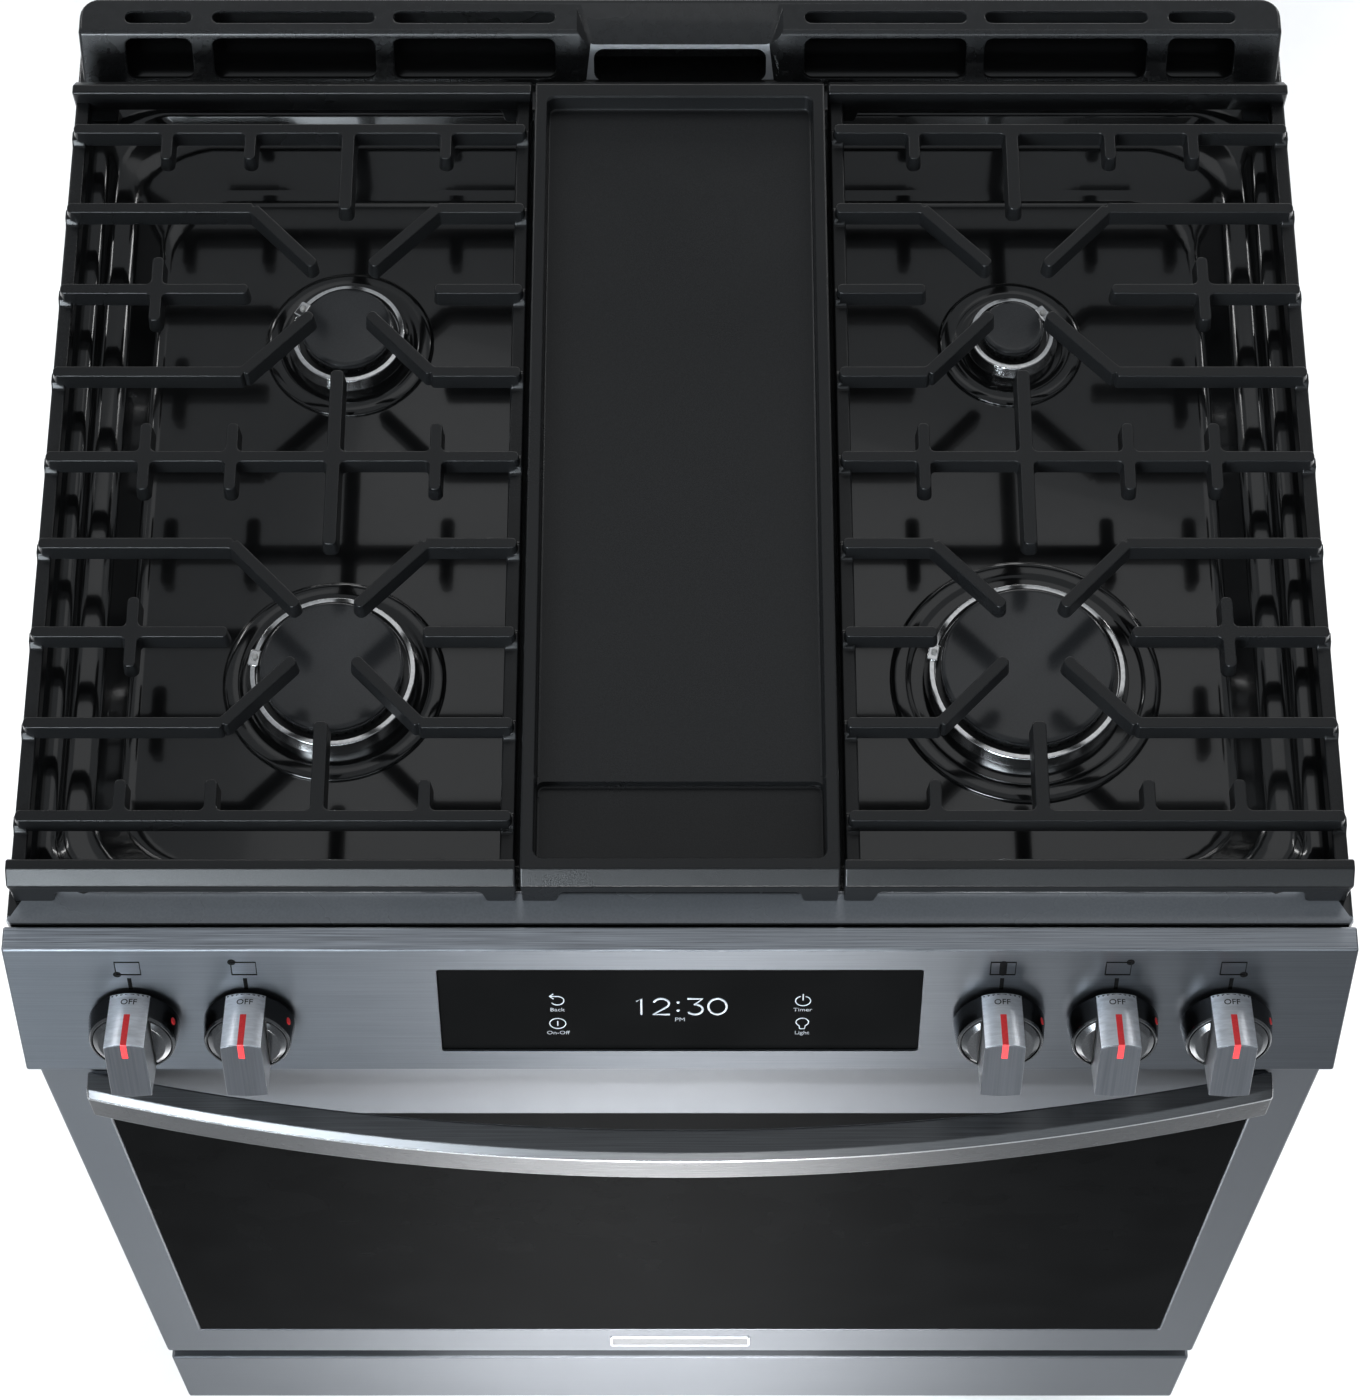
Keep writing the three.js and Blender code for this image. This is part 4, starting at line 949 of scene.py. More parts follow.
def bar_rows():
    far = 2 * REACH_Y
    rows = comb(MIDDLE_Y + far, [-1]) + comb(MIDDLE_Y, [-1, 1]) + comb(MIDDLE_Y - far, [1])
    return rows + burner_bars(MIDDLE_Y + REACH_Y) + burner_bars(MIDDLE_Y - REACH_Y)


def lattice():
    loops = [softened(loop, 2.9, 3.2) for loop in outline_of(bar_rows())]
    base = GRATE_TOP - BAR_DEPTH
    levels = [(base, 0.4), (base + 0.5, -0.5), (base + 1.2, -0.9), (GRATE_TOP - BAR_EDGE, 0)]
    levels += [(GRATE_TOP - BAR_EDGE + BAR_EDGE * sin(radians(t)), BAR_EDGE * (1 - cos(radians(t))))
               for t in (30, 60, 90)]
    return merged(*[plate([loop], levels) for loop in loops])


def nose(sides, front, backwards):
    """The bar along one end: a chamfered nose over a lower face set back a little."""
    shape = [(NOSE_DEPTH, GRATE_TOP), (NOSE, GRATE_TOP), (0, GRATE_TOP - NOSE), (0, GRATE_TOP - NOSE - 3.6),
             (SKIRT_BACK, GRATE_TOP - NOSE - 5.4), (SKIRT_BACK, GRATE_TOP - 19.5),
             (NOSE_DEPTH - 1, GRATE_TOP - 19.5)]
    outline = [(front + backwards * back, z) for back, z in shape]
    if area(outline) < 0:
        outline = outline[::-1]
    outline = rounded(outline, [1.4, 1.0, 1.3, 1.6, 1.6, 1.8, 1.8][::1 if backwards < 0 else -1], 20)
    return moved(plate([outline], edged(sides[0], sides[1], 1.3, 1.3)), ALONG_X)


def feet(sides, front, backwards, foot_in, foot_out):
    """A skirt under the nose, cut away between its two feet."""
    x0, x1 = sides
    a, b, top = x0 + foot_in, x1 - foot_out, GRATE_TOP - 15
    under = GRATE_TOP - 19.5
    outline = [(x0 + 0.6, FOOT_BOTTOM), (a, FOOT_BOTTOM), (a + 2.5, under), (b - 2.5, under),
               (b, FOOT_BOTTOM), (x1 - 0.6, FOOT_BOTTOM), (x1 - 0.6, top), (x0 + 0.6, top)]
    outline = rounded(outline, [1.5, 2.4, 4, 4, 2.4, 1.5, 0, 0], 18)
    start, stop = sorted((-(front + backwards * SKIRT_BACK), -(front + backwards * 12.5)))
    return moved(plate([outline], edged(start, stop, 1.2, 1.2)), FACING_FRONT)


def rail(middle):
    """A side rail: low between the bars, and rising a little under each of them."""
    start, stop = GRATE_ENDS[0] + 4, GRATE_ENDS[1] - 4
    top = [(start, RAIL_TOP)]
    for i in range(9):
        y = MIDDLE_Y + (i - 4) * BAR_PITCH
        top += [(y - 6, RAIL_TOP), (y - 3.2, RAIL_TOP + 4), (y + 3.2, RAIL_TOP + 4), (y + 6, RAIL_TOP)]
    top.append((stop, RAIL_TOP))
    outline = [(stop, 906), (start, 906)] + top
    outline = rounded(outline[::-1], 2.2, 24)
    half = RAIL_HALF
    return moved(plate([outline], edged(middle - half, middle + half, 1.3, 1.3)), ALONG_X)


def grate():
    inner, outer = GRATE_SIDES
    parts = [lattice(), rail(outer - 5.2), rail(inner + 5.2)]
    for end, backwards in ((GRATE_ENDS[0], 1), (GRATE_ENDS[1], -1)):
        parts.append(nose(GRATE_SIDES, end, backwards))
        parts.append(feet(GRATE_SIDES, end, backwards, 17.5, 23.5))
    return join(*parts)


def ring_of(half, ends, radius, z, steps=5):
    return [(u, v, z) for u, v in rectangle((-half, half), ends, radius, steps)]


GRIDDLE_HALF = 89.3
GRIDDLE_INNER = 81.2
PLATE_Z = 918.0
TROUGH_Z = 912.0


def pocket(half, ends, floor, slope):
    """A tool that sinks a pan with round floor edges, a sloping rear wall and a rounded rim."""
    rows = [(floor, 1.8, 1.8), (floor + 0.5, 0.6, 0.6), (floor + 1.8, 0, 0), (GRATE_TOP - 1.3, -0.3, -slope),
            (GRATE_TOP - 0.3, -0.9, -slope - 1.0), (GRATE_TOP + 1, -2.6, -slope - 3.4)]
    rings = [ring_of(half - side, (ends[0] + side, ends[1] - back), 4.5 - side, z)
             for z, side, back in rows]
    return lofted(rings)


def griddle_step():
    """A tool that opens the plate's front edge into the trough, as a small slope."""
    outline = [(-190, TROUGH_Z), (-186.2, TROUGH_Z), (-184.6, PLATE_Z - 0.6), (-183, PLATE_Z + 0.02),
               (-176, PLATE_Z + 0.02), (-176, GRATE_TOP + 3), (-190, GRATE_TOP + 3)]
    half = GRIDDLE_INNER - 0.4
    return moved(plate([outline], [(-half, 0), (half, 0)]), ALONG_X)


def griddle():
    sides = (-GRIDDLE_HALF, GRIDDLE_HALF)
    body = box(sides, (GRATE_ENDS[0] + 7, GRATE_ENDS[1] - 6.6), (906, GRATE_TOP), 1.2)
    parts = [body]
    for end, backwards in ((GRATE_ENDS[0], 1), (GRATE_ENDS[1], -1)):
        parts.append(nose(sides, end, backwards))
        parts.append(feet(sides, end, backwards, 20, 20))
    pan = pocket(GRIDDLE_INNER, (-183.6, 281), PLATE_Z, 1.2)
    trough = pocket(GRIDDLE_INNER, (-230.6, -179), TROUGH_Z, 0)
    return cut(join(*parts), pan, trough, griddle_step())


def add_grates():
    right = grate()
    piece("grate_right", right, "cast_iron", "right_grate_body", replaces=["right_grate"])
    piece("grate_left", mirrored(right), "cast_iron", "left_grate_body", replaces=["left_grate"])
    piece("griddle_plate", griddle(), "cast_iron", "griddle_body", replaces=["griddle"])


# ------------------------------------------------------------------ cooktop and burners
RIM = 897.5
WELL = 866.0
RINGS = {"left_front": 48.5, "left_rear": 34.5, "right_rear": 25.5, "right_front": 57.5}
RING_TOP = 880.0
CAP_TOP = 888.0
BOSS = {"left_front": 66.0, "left_rear": 52.0, "right_rear": 45.0, "right_front": 80.0}
PORT_PITCH = 6.4
PORT_RADIUS = 0.95
CAP_INSET = 6.4  # how far a cap's edge lies inside its ring
BURNER_STEPS = 72


def burner_at(name):
    side, row = side_and_row(name)
    return side * BURNER_X, MIDDLE_Y + row * REACH_Y


def well_rings(lower):
    """The pan's outline at each level, from the edge inwards: (half width, ends, corner, height)."""
    rows = [(379.0, (-257.5, 356.4), 3.0, 876.0), (379.0, (-257.5, 356.4), 3.0, 895.3),
            (378.4, (-256.9, 355.8), 3.0, 896.8), (377.0, (-255.4, 354.4), 3.0, RIM),
            (360.0, (-240.0, 298.0), 30.0, RIM), (357.0, (-237.4, 294.6), 32.0, 896.9),
            (354.4, (-234.8, 291.8), 34.0, 894.6), (352.0, (-232.6, 289.6), 36.0, 890.4),
            (348.6, (-230.6, 287.0), 38.0, 888.6), (343.0, (-227.0, 281.4), 40.0, 887.9),
            (338.6, (-224.2, 276.4), 42.0, 886.8), (335.4, (-221.4, 271.0), 43.0, 883.6),
            (324.4, (-212.6, 254.6), 44.0, 869.8), (321.0, (-209.8, 250.2), 45.0, 867.0),
            (316.0, (-206.0, 244.0), 45.0, WELL)]
    return [ring_of(half - lower, (ends[0] + lower, ends[1] - lower), corner,
                    z - (lower if z > RING_TOP else 0), 8)
            for half, ends, corner, z in rows]


def cooktop():
    under = [[(x, y, z - SHEET) for x, y, z in ring] for ring in well_rings(0)[1:]]
    inner = [(x * 0.994, y * 0.994, 876.0) for x, y, z in well_rings(0)[0]]
    return lofted(under[::-1] + [inner] + well_rings(0))


def boss(radius, x, y):
    """A raised ring round a burner, with a rounded shoulder."""
    profile = [(0, WELL - 1), (radius, WELL - 1), (radius, WELL), (radius - 0.8, WELL + 1.6),
               (radius - 2.4, WELL + 2.7), (radius - 4.6, WELL + 3.0), (radius - 8.6, WELL + 3.0),
               (radius - 10.4, WELL + 2.4), (radius - 11.6, WELL + 1.6), (radius - 13.4, WELL + 1.3),
               (0, WELL + 1.3)]
    return shifted(turned(profile, BURNER_STEPS), x, y)


def burner_head(radius):
    """The bright ring, flaring out under a cone."""
    return turned([(0, WELL + 0.5), (radius - 1.6, WELL + 0.5), (radius - 0.8, WELL + 1.2),
                   (radius + 1.4, RING_TOP - 7.6), (radius + 2.7, RING_TOP - 7),
                   (radius + 2.8, RING_TOP - 6.4), (radius + 0.3, RING_TOP - 0.8),
                   (radius - 0.1, RING_TOP - 0.2), (radius - 0.5, RING_TOP), (radius - 2.8, RING_TOP),
                   (radius - 3.3, RING_TOP - 0.4), (radius - 3.6, RING_TOP - 4.2), (0, RING_TOP - 4.2)],
                  BURNER_STEPS)


def burner_throat(radius):
    return turned([(0, RING_TOP - 4.4), (radius - 3.8, RING_TOP - 4.4), (radius - 3.8, RING_TOP - 3.9),
                   (radius - 6.9, RING_TOP - 3.7), (radius - 7.3, RING_TOP + 4), (0, RING_TOP + 4)],
                  BURNER_STEPS)


def burner_ports(radius):
    """Dark dots round the throat, where the gas comes out: painted shade for the dark inside of each port hole."""
    count = int(2 * pi * radius / PORT_PITCH)
    port = plate([circle(0, 0, PORT_RADIUS, 8)], [(0, 0), (0.5, 0)])
    ports = []
    for i in range(count):
        t = 2 * pi * i / count
        across, out = Vector((-sin(t), cos(t), 0)), Vector((cos(t), sin(t), 0))
        at = out * (radius - 7.35) + Vector((0, 0, RING_TOP - 0.6))
        ports.append(moved(port, basis(across, (0, 0, 1), out, at)))
    return merged(*ports)


def burner_cap(radius):
    edge = radius - CAP_INSET
    return turned([(0, RING_TOP + 3.2), (edge - 0.5, RING_TOP + 3.2), (edge, RING_TOP + 3.8),
                   (edge, CAP_TOP - 2.4), (edge - 0.5, CAP_TOP - 1.0), (edge - 1.5, CAP_TOP - 0.3),
                   (edge - 3.2, CAP_TOP), (0, CAP_TOP)], BURNER_STEPS)


def burner(name):
    at = burner_at(name)
    radius = RINGS[name]
    piece(f"burner_ring_{name}", shifted(burner_head(radius), *at), "burner_aluminium",
          replaces=[f"burner_head_{name}"])
    piece(f"burner_throat_{name}", shifted(burner_throat(radius), *at), "satin_enamel")
    # The port dots are painted shade: dark discs where the port holes' insides would be.
    piece(f"burner_ports_{name}", shifted(burner_ports(radius), *at), "dark_print")
    piece(f"burner_lid_{name}", shifted(burner_cap(radius), *at), "cap_enamel",
          replaces=[f"burner_cap_{name}"])


IGNITER_AT = {"left_front": 170, "left_rear": 150, "right_rear": 35, "right_front": 168}


def igniter(name):
    """A white ceramic post in a bright saddle on the ring."""
    x, y = burner_at(name)
    t = radians(IGNITER_AT[name])
    radius = RINGS[name]
    out = Vector((cos(t), sin(t), 0))
    across = Vector((-sin(t), cos(t), 0))
    place = basis(out, across, (0, 0, 1), Vector((x, y, 0)) + out * (radius - 1.6))
    saddle = box((-3.6, 3.4), (-5.4, 5.4), (RING_TOP - 9, RING_TOP + 1.4), 1.2)
    piece(f"igniter_saddle_{name}", moved(saddle, place), "burner_aluminium")
    post = turned([(0, RING_TOP - 1), (1.9, RING_TOP - 1), (1.9, RING_TOP + 2.2), (1.2, RING_TOP + 2.8),
                   (0, RING_TOP + 2.8)], 16)
    piece(f"igniter_post_{name}", moved(shifted(post, -0.4), place), "white_ceramic")


def oval(half, reach, levels):
    return plate([rectangle((-half, half), (MIDDLE_Y - reach, MIDDLE_Y + reach), half - 0.01, 16)], levels)


def add_cooktop():
    bosses = [boss(radius, *burner_at(name)) for name, radius in BOSS.items()]
    front = (lambda centre, normal: centre.z > 894 and centre.y < -238, "rim_enamel")
    piece("cooktop_pan", merged(cooktop(), *bosses), "gloss_enamel", replaces=["cooktop"], extra=[front])
    for name in RINGS:
        burner(name)
        igniter(name)
    piece("burner_ring_center", oval(27, 95, edged(WELL + 0.5, RING_TOP, 0.6, 0.8)), "burner_aluminium",
          replaces=["burner_head_center"])
    piece("burner_lid_center", oval(22, 90, edged(RING_TOP + 0.4, CAP_TOP, 0.6, 2.4)), "cap_enamel",
          replaces=["burner_cap_center"])


# ------------------------------------------------------------------ rear vent
VENT_HALF = 375.0
VENT_FRONT = 315.0
VENT_SHOULDER = 331.0
VENT_BACK = 357.0
VENT_OPENINGS = [(78, 179), (190.5, 292), (305, 346.5)]
SLOT_Y = (338, 346.9)
FLUE_LIP = 919.5
FLUE_LIP_Y = 329.0
FLUE_DEPTH = 2.95  # how far the flue's panel is sunk in the sloping front
FLUE_HALF = 56.0
RAMP_FLARE = 0.8  # how fast the ramp's sides open out as it rises
RAMP_RUN = 2.2  # how far back the ramp runs for each millimetre it rises
CORE_HALF = 72.0  # the solid middle of the vent, round the flue
GRILLE_V = (3.6, 31.0)  # the front openings, up the slope from its foot


def vent_ring(z, amount, lean):
    """The vent's outline at one height: the front leans back as it rises."""
    front = VENT_FRONT + lean * (VENT_SHOULDER - VENT_FRONT) + amount
    half = VENT_HALF - amount
    outline = [(-half, front), (half, front), (half, VENT_BACK - amount), (-half, VENT_BACK - amount)]
    return [(u, v, z) for u, v in rounded(outline, [2.5, 2.5, 14 - amount, 14 - amount], 15)]


def vent_shell(amount, top_radius):
    low, high = FOOT_BOTTOM - (0 if not amount else 4), GRATE_TOP - amount
    rings = [vent_ring(low, amount, 0)]
    for t in (0, 30, 60, 90):
        edge = top_radius * (1 - cos(radians(t)))
        z = high - top_radius + top_radius * sin(radians(t))
        rings.append(vent_ring(z, amount + edge, (z - FOOT_BOTTOM) / (GRATE_TOP - FOOT_BOTTOM)))
    return lofted(rings)


def flared(loop, low, high, flare, place):
    """A cutting tool whose mouth, at the high end, opens out in a small rounded edge."""
    levels = [(low, 0), (high - 1 - flare, 0), (high - 1 - flare * 0.4, -flare * 0.25), (high - 1, -flare),
              (high, -flare * 2.2)]
    return moved(plate([loop], levels), place)


def flue_ramp():
    """The dip over the flue: a ramp from the top down to the lip."""
    rings = []
    for z in (FLUE_LIP - 3, GRATE_TOP + 1.5):
        half = FLUE_HALF + RAMP_FLARE * (z - FLUE_LIP)
        back = FLUE_LIP_Y + RAMP_RUN * (z - FLUE_LIP)
        outline = rounded([(-half, 300), (half, 300), (half, back), (-half, back)], [0, 0, 3, 3])
        rings.append([(x, y, z) for x, y in outline])
    return lofted(rings)


def add_rear_vent():
    both = [x for a, b in VENT_OPENINGS for x in ((a, b), (-b, -a))]
    core = box((-CORE_HALF, CORE_HALF), (VENT_FRONT - 5, VENT_BACK - 4), (FOOT_BOTTOM - 5, GRATE_TOP))
    tools = [cut(vent_shell(SHEET, 1.0), core), flue_ramp()]
    lean = (VENT_SHOULDER - VENT_FRONT) / (GRATE_TOP - FOOT_BOTTOM)
    tilt = Vector((0, lean, 1)).normalized()
    outward = Vector((0, -tilt.z, tilt.y))
    on_front = basis((1, 0, 0), tilt, outward, (0, VENT_FRONT, FOOT_BOTTOM))
    for x in both:
        tools.append(flared(rectangle(x, GRILLE_V, 5.2), -12, 1, 1.0, on_front))
        tools.append(flared(rectangle(x, SLOT_Y, 4.3), GRATE_TOP - 8, GRATE_TOP + 1, 0.8, Matrix()))
    panel = [(-59.5, -4), (59.5, -4), (55.5, 29), (-55.5, 29)]
    tools.append(moved(plate([panel], [(-FLUE_DEPTH, 0), (0.5, -6.5), (1.5, -8)]), on_front))
    tools.append(flared(rectangle((-53.5, 53.5), (0.8, 22.2), 6), -19, 1 - FLUE_DEPTH, 0.5, on_front))
    at_front = Vector((0, VENT_FRONT, FOOT_BOTTOM))

    # The sunk flue panel's face is coloured lighter: partly bare metal, partly a painted highlight for the light
    # it catches.
    def is_flue_band(centre, normal):
        return normal.dot(outward) > 0.98 and abs((centre - at_front).dot(outward) + FLUE_DEPTH) < 0.3

    # Painted shade: the vent's inside faces get the near-black print colour, for the shade inside it.
    def is_painted_shade_inside(centre, normal):
        front = VENT_FRONT + lean * (centre.z - FOOT_BOTTOM) + 1.6
        return (CORE_HALF + 1 < abs(centre.x) < VENT_HALF - 1.6 and front < centre.y < VENT_BACK - 1.6
                and centre.z < GRATE_TOP - 1.6)

    piece("vent_cover", cut(vent_shell(0, 2.2), *tools), "vent_enamel", replaces=["rear_vent"],
          extra=[(is_flue_band, "flue_trim"), (is_painted_shade_inside, "dark_print")])


# ------------------------------------------------------------------ door, handle and drawer
DOOR_HALF = 376.0
DOOR_Z = (190.0, 790.0)
DOOR_FACE = -299.3
DOOR_BACK = -264.0
DOOR_SKIN = 2.5
GLASS_HALF = 345.0
GLASS_Z = (244.0, 700.0)
WINDOW_HALF = 270.0
WINDOW_Z = (300.0, 610.0)
HINGE_X = 333.0


def facing_front(loop, levels):
    """A plate in the XZ plane whose heights run towards the front, measured from the door's face."""
    return moved(plate([loop], levels), basis((1, 0, 0), (0, 0, 1), (0, -1, 0), (0, DOOR_FACE, 0)))


def hinge_notches():
    return [box((x - 4, x + 4), (-286.5, -250), (180, 204)) for x in (-HINGE_X, HINGE_X)]


def add_door():
    outer = rectangle((-DOOR_HALF, DOOR_HALF), DOOR_Z, 3.0)
    block = facing_front(outer, edged(DOOR_FACE - DOOR_BACK, 0, 0.6, 2.2))
    inside = rectangle((-DOOR_HALF + DOOR_SKIN, DOOR_HALF - DOOR_SKIN),
                       (DOOR_Z[0] + DOOR_SKIN, DOOR_Z[1] - DOOR_SKIN), 2.0)
    hollow = facing_front(inside, [(DOOR_FACE - DOOR_BACK - 4, 0), (-DOOR_SKIN, 0)])
    mouth = rectangle((-GLASS_HALF - 0.3, GLASS_HALF + 0.3), (GLASS_Z[0] - 0.3, GLASS_Z[1] + 0.3), 1.2)
    opening = facing_front(mouth, [(-9, 0), (-1.1, 0), (-0.4, -0.5), (0, -1.3), (1, -3.0)])
    piece("door_shell", cut(block, hollow, opening, *hinge_notches()), "black_stainless", "oven_door",
          replaces=["door_frame"])
    pane = rectangle((-GLASS_HALF, GLASS_HALF), GLASS_Z, 1.0)
    piece("door_pane", facing_front(pane, edged(-4.3, -0.5, 0.3, 0.5, 2)), "dark_glass", "oven_door",
          replaces=["door_glass"])
    add_door_inside()
    add_badge()
    add_handle()


def add_door_inside():
    """The door's oven side: an embossed liner, the inner glass and its frame, and a woven gasket."""
    back = DOOR_BACK + 0.3
    liner_out = rectangle((-DOOR_HALF + 3, DOOR_HALF - 3), (DOOR_Z[0] + 3, DOOR_Z[1] - 3), 4)
    window = rectangle((-WINDOW_HALF - 0.3, WINDOW_HALF + 0.3), (WINDOW_Z[0] - 0.3, WINDOW_Z[1] + 0.3), 12)
    sheet = plate([liner_out, hole(window)], edged(0, SHEET - 0.6, 0.3, 0.5))
    plateau_out = rectangle((-WINDOW_HALF - 19, WINDOW_HALF + 19), (WINDOW_Z[0] - 30, WINDOW_Z[1] + 60), 22)
    plateau = plate([plateau_out, hole(window)], [(0.6, -1.5), (1.4, -1.0), (1.8, 0), (SHEET, 1.2)])
    to_back = facing_back(back)
    screws = merged(*[screw(3.4, (x, z), SHEET - 0.75) for x in (-352, 352) for z in (236, 490, 744)])
    notches = hinge_notches()
    piece("door_lining", cut(moved(sheet, to_back), *notches), "cavity_enamel", "oven_door",
          replaces=["door_liner"])
    piece("door_plateau", moved(plateau, to_back), "cavity_enamel", "oven_door")
    piece("door_lining_screws", moved(screws, to_back), "burner_steel", "oven_door")
    pane = rectangle((-WINDOW_HALF, WINDOW_HALF), WINDOW_Z, 12)
    piece("door_inner_pane", moved(plate([pane], edged(-2, SHEET - 0.3, 0.3, 0.6)), to_back), "dark_glass",
          "oven_door", replaces=["door_inner_glass"])
    path = [(u, 0, v) for u, v in rectangle((-312, 312), (222, 752), 26, 8)]
    seal = tube([Vector((x, back + 3.3, z)) for x, y, z in path], 3.0, 10, True, 0.47)
    piece("door_gasket", seal, "gasket", "oven_door")


def screw(radius, at, height):
    """A screw's round head with a cross cut in it."""
    head = turned([(0, -0.2), (radius, -0.2), (radius, 0.5), (radius * 0.85, 0.95), (radius * 0.5, 1.2),
                   (0, 1.2)], 16)
    slots = [plate([rectangle((-a, a), (-b, b))], [(0.6, 0), (2, 0)])
             for a, b in ((radius * 0.5, radius * 0.12), (radius * 0.12, radius * 0.5))]
    return shifted(cut(head, *slots), at[0], at[1], height)


BADGE_HALF = 50.5
BADGE_Z = (207.0, 228.0)


def add_badge():
    """A blank name plate in a bright rim, on the door's bottom rail."""
    outer = rectangle((-BADGE_HALF, BADGE_HALF), BADGE_Z, 2.0)
    inner = inset(outer, 1.4)
    rim = cut(facing_front(outer, edged(-0.3, 1.3, 0.2, 0.4)), facing_front(inner, [(-2, 0), (3, 0)]))
    piece("door_badge_rim", rim, "knob_end", "oven_door")
    piece("door_badge_plate", facing_front(inner, edged(-0.3, 0.7, 0.1, 0.2)), "handle_bevel", "oven_door")


HANDLE_HALF = 347.0
HANDLE_Z = (745.0, 780.0)
HANDLE_END_Y = -317.5
HANDLE_MIDDLE_Y = -356.6
HANDLE_DEPTH = (16.0, 19.0)


def handle_ring(x, amount=0.0):
    """The bowed handle's outline at one place along it."""
    share = min(abs(x) / HANDLE_HALF, 1.0) ** 2
    front = HANDLE_MIDDLE_Y + (HANDLE_END_Y - HANDLE_MIDDLE_Y) * share
    depth = HANDLE_DEPTH[1] + (HANDLE_DEPTH[0] - HANDLE_DEPTH[1]) * share
    low, high = HANDLE_Z
    outline = [(front + depth, low + 1.5), (front + depth, high), (front + 4.6, high),
               (front + 0.2, high - 4.2), (front, low + 3), (front + 2.4, low)]
    return [(x, y, z) for y, z in inset(rounded(outline, [2.4, 1.6, 1.6, 2.4, 6, 3], 20), amount)]


def add_handle():
    steps = 60
    places = [-HANDLE_HALF + 2 * HANDLE_HALF * i / steps for i in range(steps + 1)]
    rings = [handle_ring(-HANDLE_HALF, 1.3), handle_ring(-HANDLE_HALF + 0.4, 0.5)]
    rings += [handle_ring(x) for x in [-HANDLE_HALF + 1.4] + places[1:-1] + [HANDLE_HALF - 1.4]]
    rings += [handle_ring(HANDLE_HALF - 0.4, 0.5), handle_ring(HANDLE_HALF, 1.3)]
    posts = []
    for side in (-1, 1):
        edges = sorted((side * (HANDLE_HALF - 20), side * (HANDLE_HALF - 1)))
        posts.append(box(edges, (HANDLE_END_Y + 4, DOOR_FACE - 0.2),
                         (HANDLE_Z[0] + 2.4, HANDLE_Z[1] - 2), 2.4))
    # Painted light and shade: the bar's faces get lighter and darker copies of the stainless by which way they
    # face, with a painted highlight on the edge faces.
    top = (lambda centre, normal: normal.z > 0.9, "handle_top")
    bevel = (lambda centre, normal: 0.55 < normal.z <= 0.9, "handle_bevel")
    edge = (lambda centre, normal: 0.1 < normal.z <= 0.55, "handle_edge")
    piece("handle_bar", lofted(rings), "handle_front", "oven_door", replaces=["door_handle"],
          extra=[top, bevel, edge])
    piece("handle_posts", merged(*posts), "dark_polish", "oven_door")


DRAWER_Z = (67.0, 172.0)


def add_drawer():
    outer = rectangle((-DOOR_HALF + 0.5, DOOR_HALF - 0.5), DRAWER_Z, 2.4)
    block = facing_front(outer, edged(-17.3, 0, 0.6, 2.2))
    inside = rectangle((-DOOR_HALF + 3, DOOR_HALF - 3), (DRAWER_Z[0] + 2.5, DRAWER_Z[1] - 2.5), 1.0)
    hollow = facing_front(inside, [(-22, 0), (-2.5, 0)])
    piece("drawer_face", cut(block, hollow), "black_stainless", "storage_drawer",
          replaces=["drawer_front"])


# ------------------------------------------------------------------ casing, feet and the oven's inside
SIDE_HALF = 376.0
SIDE_Y = (-256.4, 352.0)
BODY_Z = (60.0, 875.7)


def add_casing():
    for side, sign in (("left", -1), ("right", 1)):
        path = [(SIDE_HALF, SIDE_Y[0]), (SIDE_HALF, SIDE_Y[1]), (352, SIDE_Y[1]), (352, SIDE_Y[1] - SHEET),
                (SIDE_HALF - SHEET, SIDE_Y[1] - SHEET), (SIDE_HALF - SHEET, SIDE_Y[0] + SHEET),
                (352, SIDE_Y[0] + SHEET), (352, SIDE_Y[0])]
        outline = rounded(path, [3, 3, 0.4, 0.4, 1.2, 1.2, 0.4, 0.4], 22)
        wall = plate([outline], edged(BODY_Z[0], BODY_Z[1], 0.4, 0.4, 2))
        cuts = [louvre(z) for z in (700, 716, 732, 748)]
        shell = cut(wall, *cuts)
        piece(f"side_wall_{side}", shell if sign > 0 else mirrored(shell), "side_paint",
              replaces=[f"{side}_side_panel"])
    add_back()


def louvre(z):
    """A slot through the right side wall."""
    loop = rectangle((215, 300), (z - 2.2, z + 2.2), 2.1)
    return moved(plate([loop], [(SIDE_HALF - 8, 0), (SIDE_HALF + 4, 0)]), ALONG_X)


def add_back():
    """A sheet with pressed beads, a hatch and screws round its edge."""
    at_back = facing_back(SIDE_Y[1] + 0.3)
    sheet = plate([rectangle((-SIDE_HALF, SIDE_HALF), (BODY_Z[0] + SHEET, BODY_Z[1]), 3),
                   hole(circle(-338, 130, 11, 24))], edged(0, SHEET, 0.3, 0.5))
    bead = [(0, 0.8), (SHEET, 0.5), (SHEET + 0.8, 0.9), (SHEET + 1.3, 2.4)]
    beads = [plate([rectangle(x, z, 12)], bead)
             for x in ((-300, -20), (20, 300)) for z in ((250, 300), (360, 410), (470, 520), (580, 630))]
    hatch = plate([rectangle((-180, 180), (700, 820), 6)], edged(SHEET - 0.2, SHEET + 1.0, 0, 0.5))
    piece("back_sheet", moved(merged(sheet, *beads, hatch), at_back), "galvanised_steel",
          replaces=["rear_panel"])
    spots = [(x, z) for x in (-364, 364) for z in range(90, 871, 130)]
    spots += [(x, z) for x in (-170, 0, 170) for z in (80, 860)]
    screws = [screw(4.0, spot, SHEET - 0.1) for spot in spots]
    screws += [screw(3.4, spot, SHEET + 0.9) for spot in ((-172, 708), (172, 708), (-172, 812), (172, 812))]
    piece("back_screws", moved(merged(*screws), at_back), "burner_steel")


THREAD_Z = (16.0, 70.0)
THREAD_PITCH = 1.8


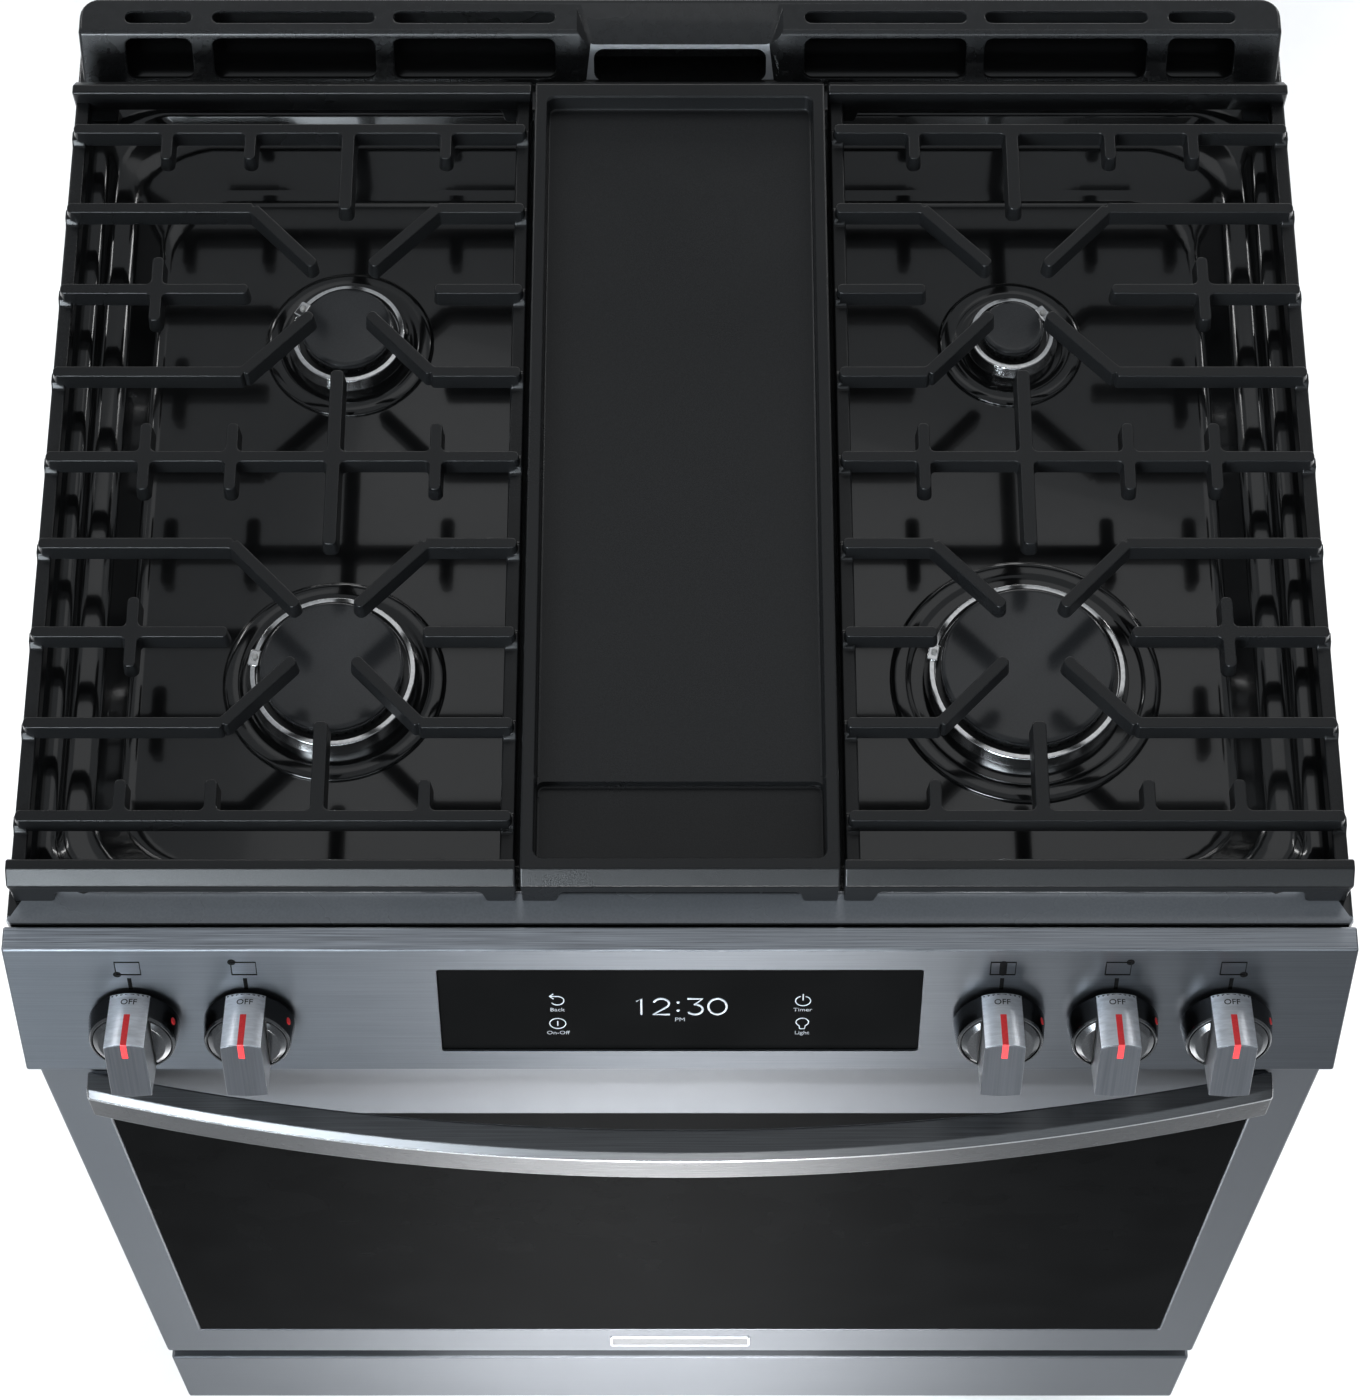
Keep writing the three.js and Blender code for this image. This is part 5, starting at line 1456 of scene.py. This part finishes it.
def add_feet():
    profile = [(0, 0), (16.4, 0), (17, 0.8), (17, 5.4), (16.2, 6.6), (12.5, 8.4), (11.8, 9), (7.2, 9.4),
               (7, 14), (5, 14.4)]
    z = THREAD_Z[0]
    while z < THREAD_Z[1]:
        profile += [(5, z), (4.3, z + THREAD_PITCH / 2)]
        z += THREAD_PITCH
    profile += [(4.3, 74), (0, 74)]
    foot = turned(profile, 28)
    hexagon = plate([circle(0, 0, 8.6, 6)], edged(9.2, 14, 0.5, 0.5))
    for row, y in (("front", -225), ("rear", 325)):
        for side, sign in (("left", -1), ("right", 1)):
            piece(f"foot_{row}_{side}", shifted(merged(foot, hexagon), sign * 330, y), "black_plastic",
                  replaces=[f"leveling_leg_{row}_{side}"])


RACK_HALF = 297.0
RACK_REACH = 197.0  # from the middle to the border rod, front and back
RACK_WIRES = 16


def rack(z):
    """A chromed wire rack: a border rod, wires front to back and stays across."""
    outline = rectangle((-RACK_HALF + 3, RACK_HALF - 3), (-RACK_REACH, RACK_REACH), 14, 6)
    border = [Vector((u, v, z)) for u, v in outline]
    wires = [tube(border, 2.95, 10, True)]
    for i in range(1, RACK_WIRES + 1):
        x = -RACK_HALF + 6 + 2 * (RACK_HALF - 6) * i / (RACK_WIRES + 1)
        wires.append(tube([(x, -RACK_REACH, z), (x, RACK_REACH, z)], 2.0, 8))
    for y in (-110, 0, 110):
        wires.append(tube([(-RACK_HALF + 3, y, z - 1.2), (RACK_HALF - 3, y, z - 1.2)], 1.7, 8))
    return merged(*wires)


def add_oven_inside():
    for level, z in (("lower", 330), ("upper", 480)):
        piece(f"rack_wires_{level}", rack(z), "chrome_wire", f"{level}_rack",
              replaces=[f"oven_rack_{level}"])
    bake = [(-70, 198, 222), (-72, 60, 222), (-72, -110, 222), (-52, -172, 222), (0, -190, 222),
            (52, -172, 222), (72, -110, 222), (72, 120, 222)]
    broil = [(-120, 198, 700), (-120, 60, 700), (-120, -90, 700), (-96, -142, 700), (0, -152, 700),
             (96, -142, 700), (120, -90, 700), (120, 120, 700)]
    for name, points in (("bake", bake), ("broil", broil)):
        piece(f"{name}_tube", tube(smooth_path(points, 10), 8.9, 18), "burner_steel",
              replaces=[f"{name}_burner"])


# ------------------------------------------------------------------ the whole range
add_camera()
add_studio()
add_control_panel()
add_display_marks()
add_panel_marks()
add_knobs()
add_grates()
add_cooktop()
add_rear_vent()
add_door()
add_drawer()
add_casing()
add_feet()
add_oven_inside()

slots = {row["node"]: row["material_slot"] for row in frame["record"]["subparts"]}
for node in frame["nodes"].values():
    if not node.hide_render:
        node.data.materials.clear()
        node.data.materials.append(MATERIALS[slots[node.name]])
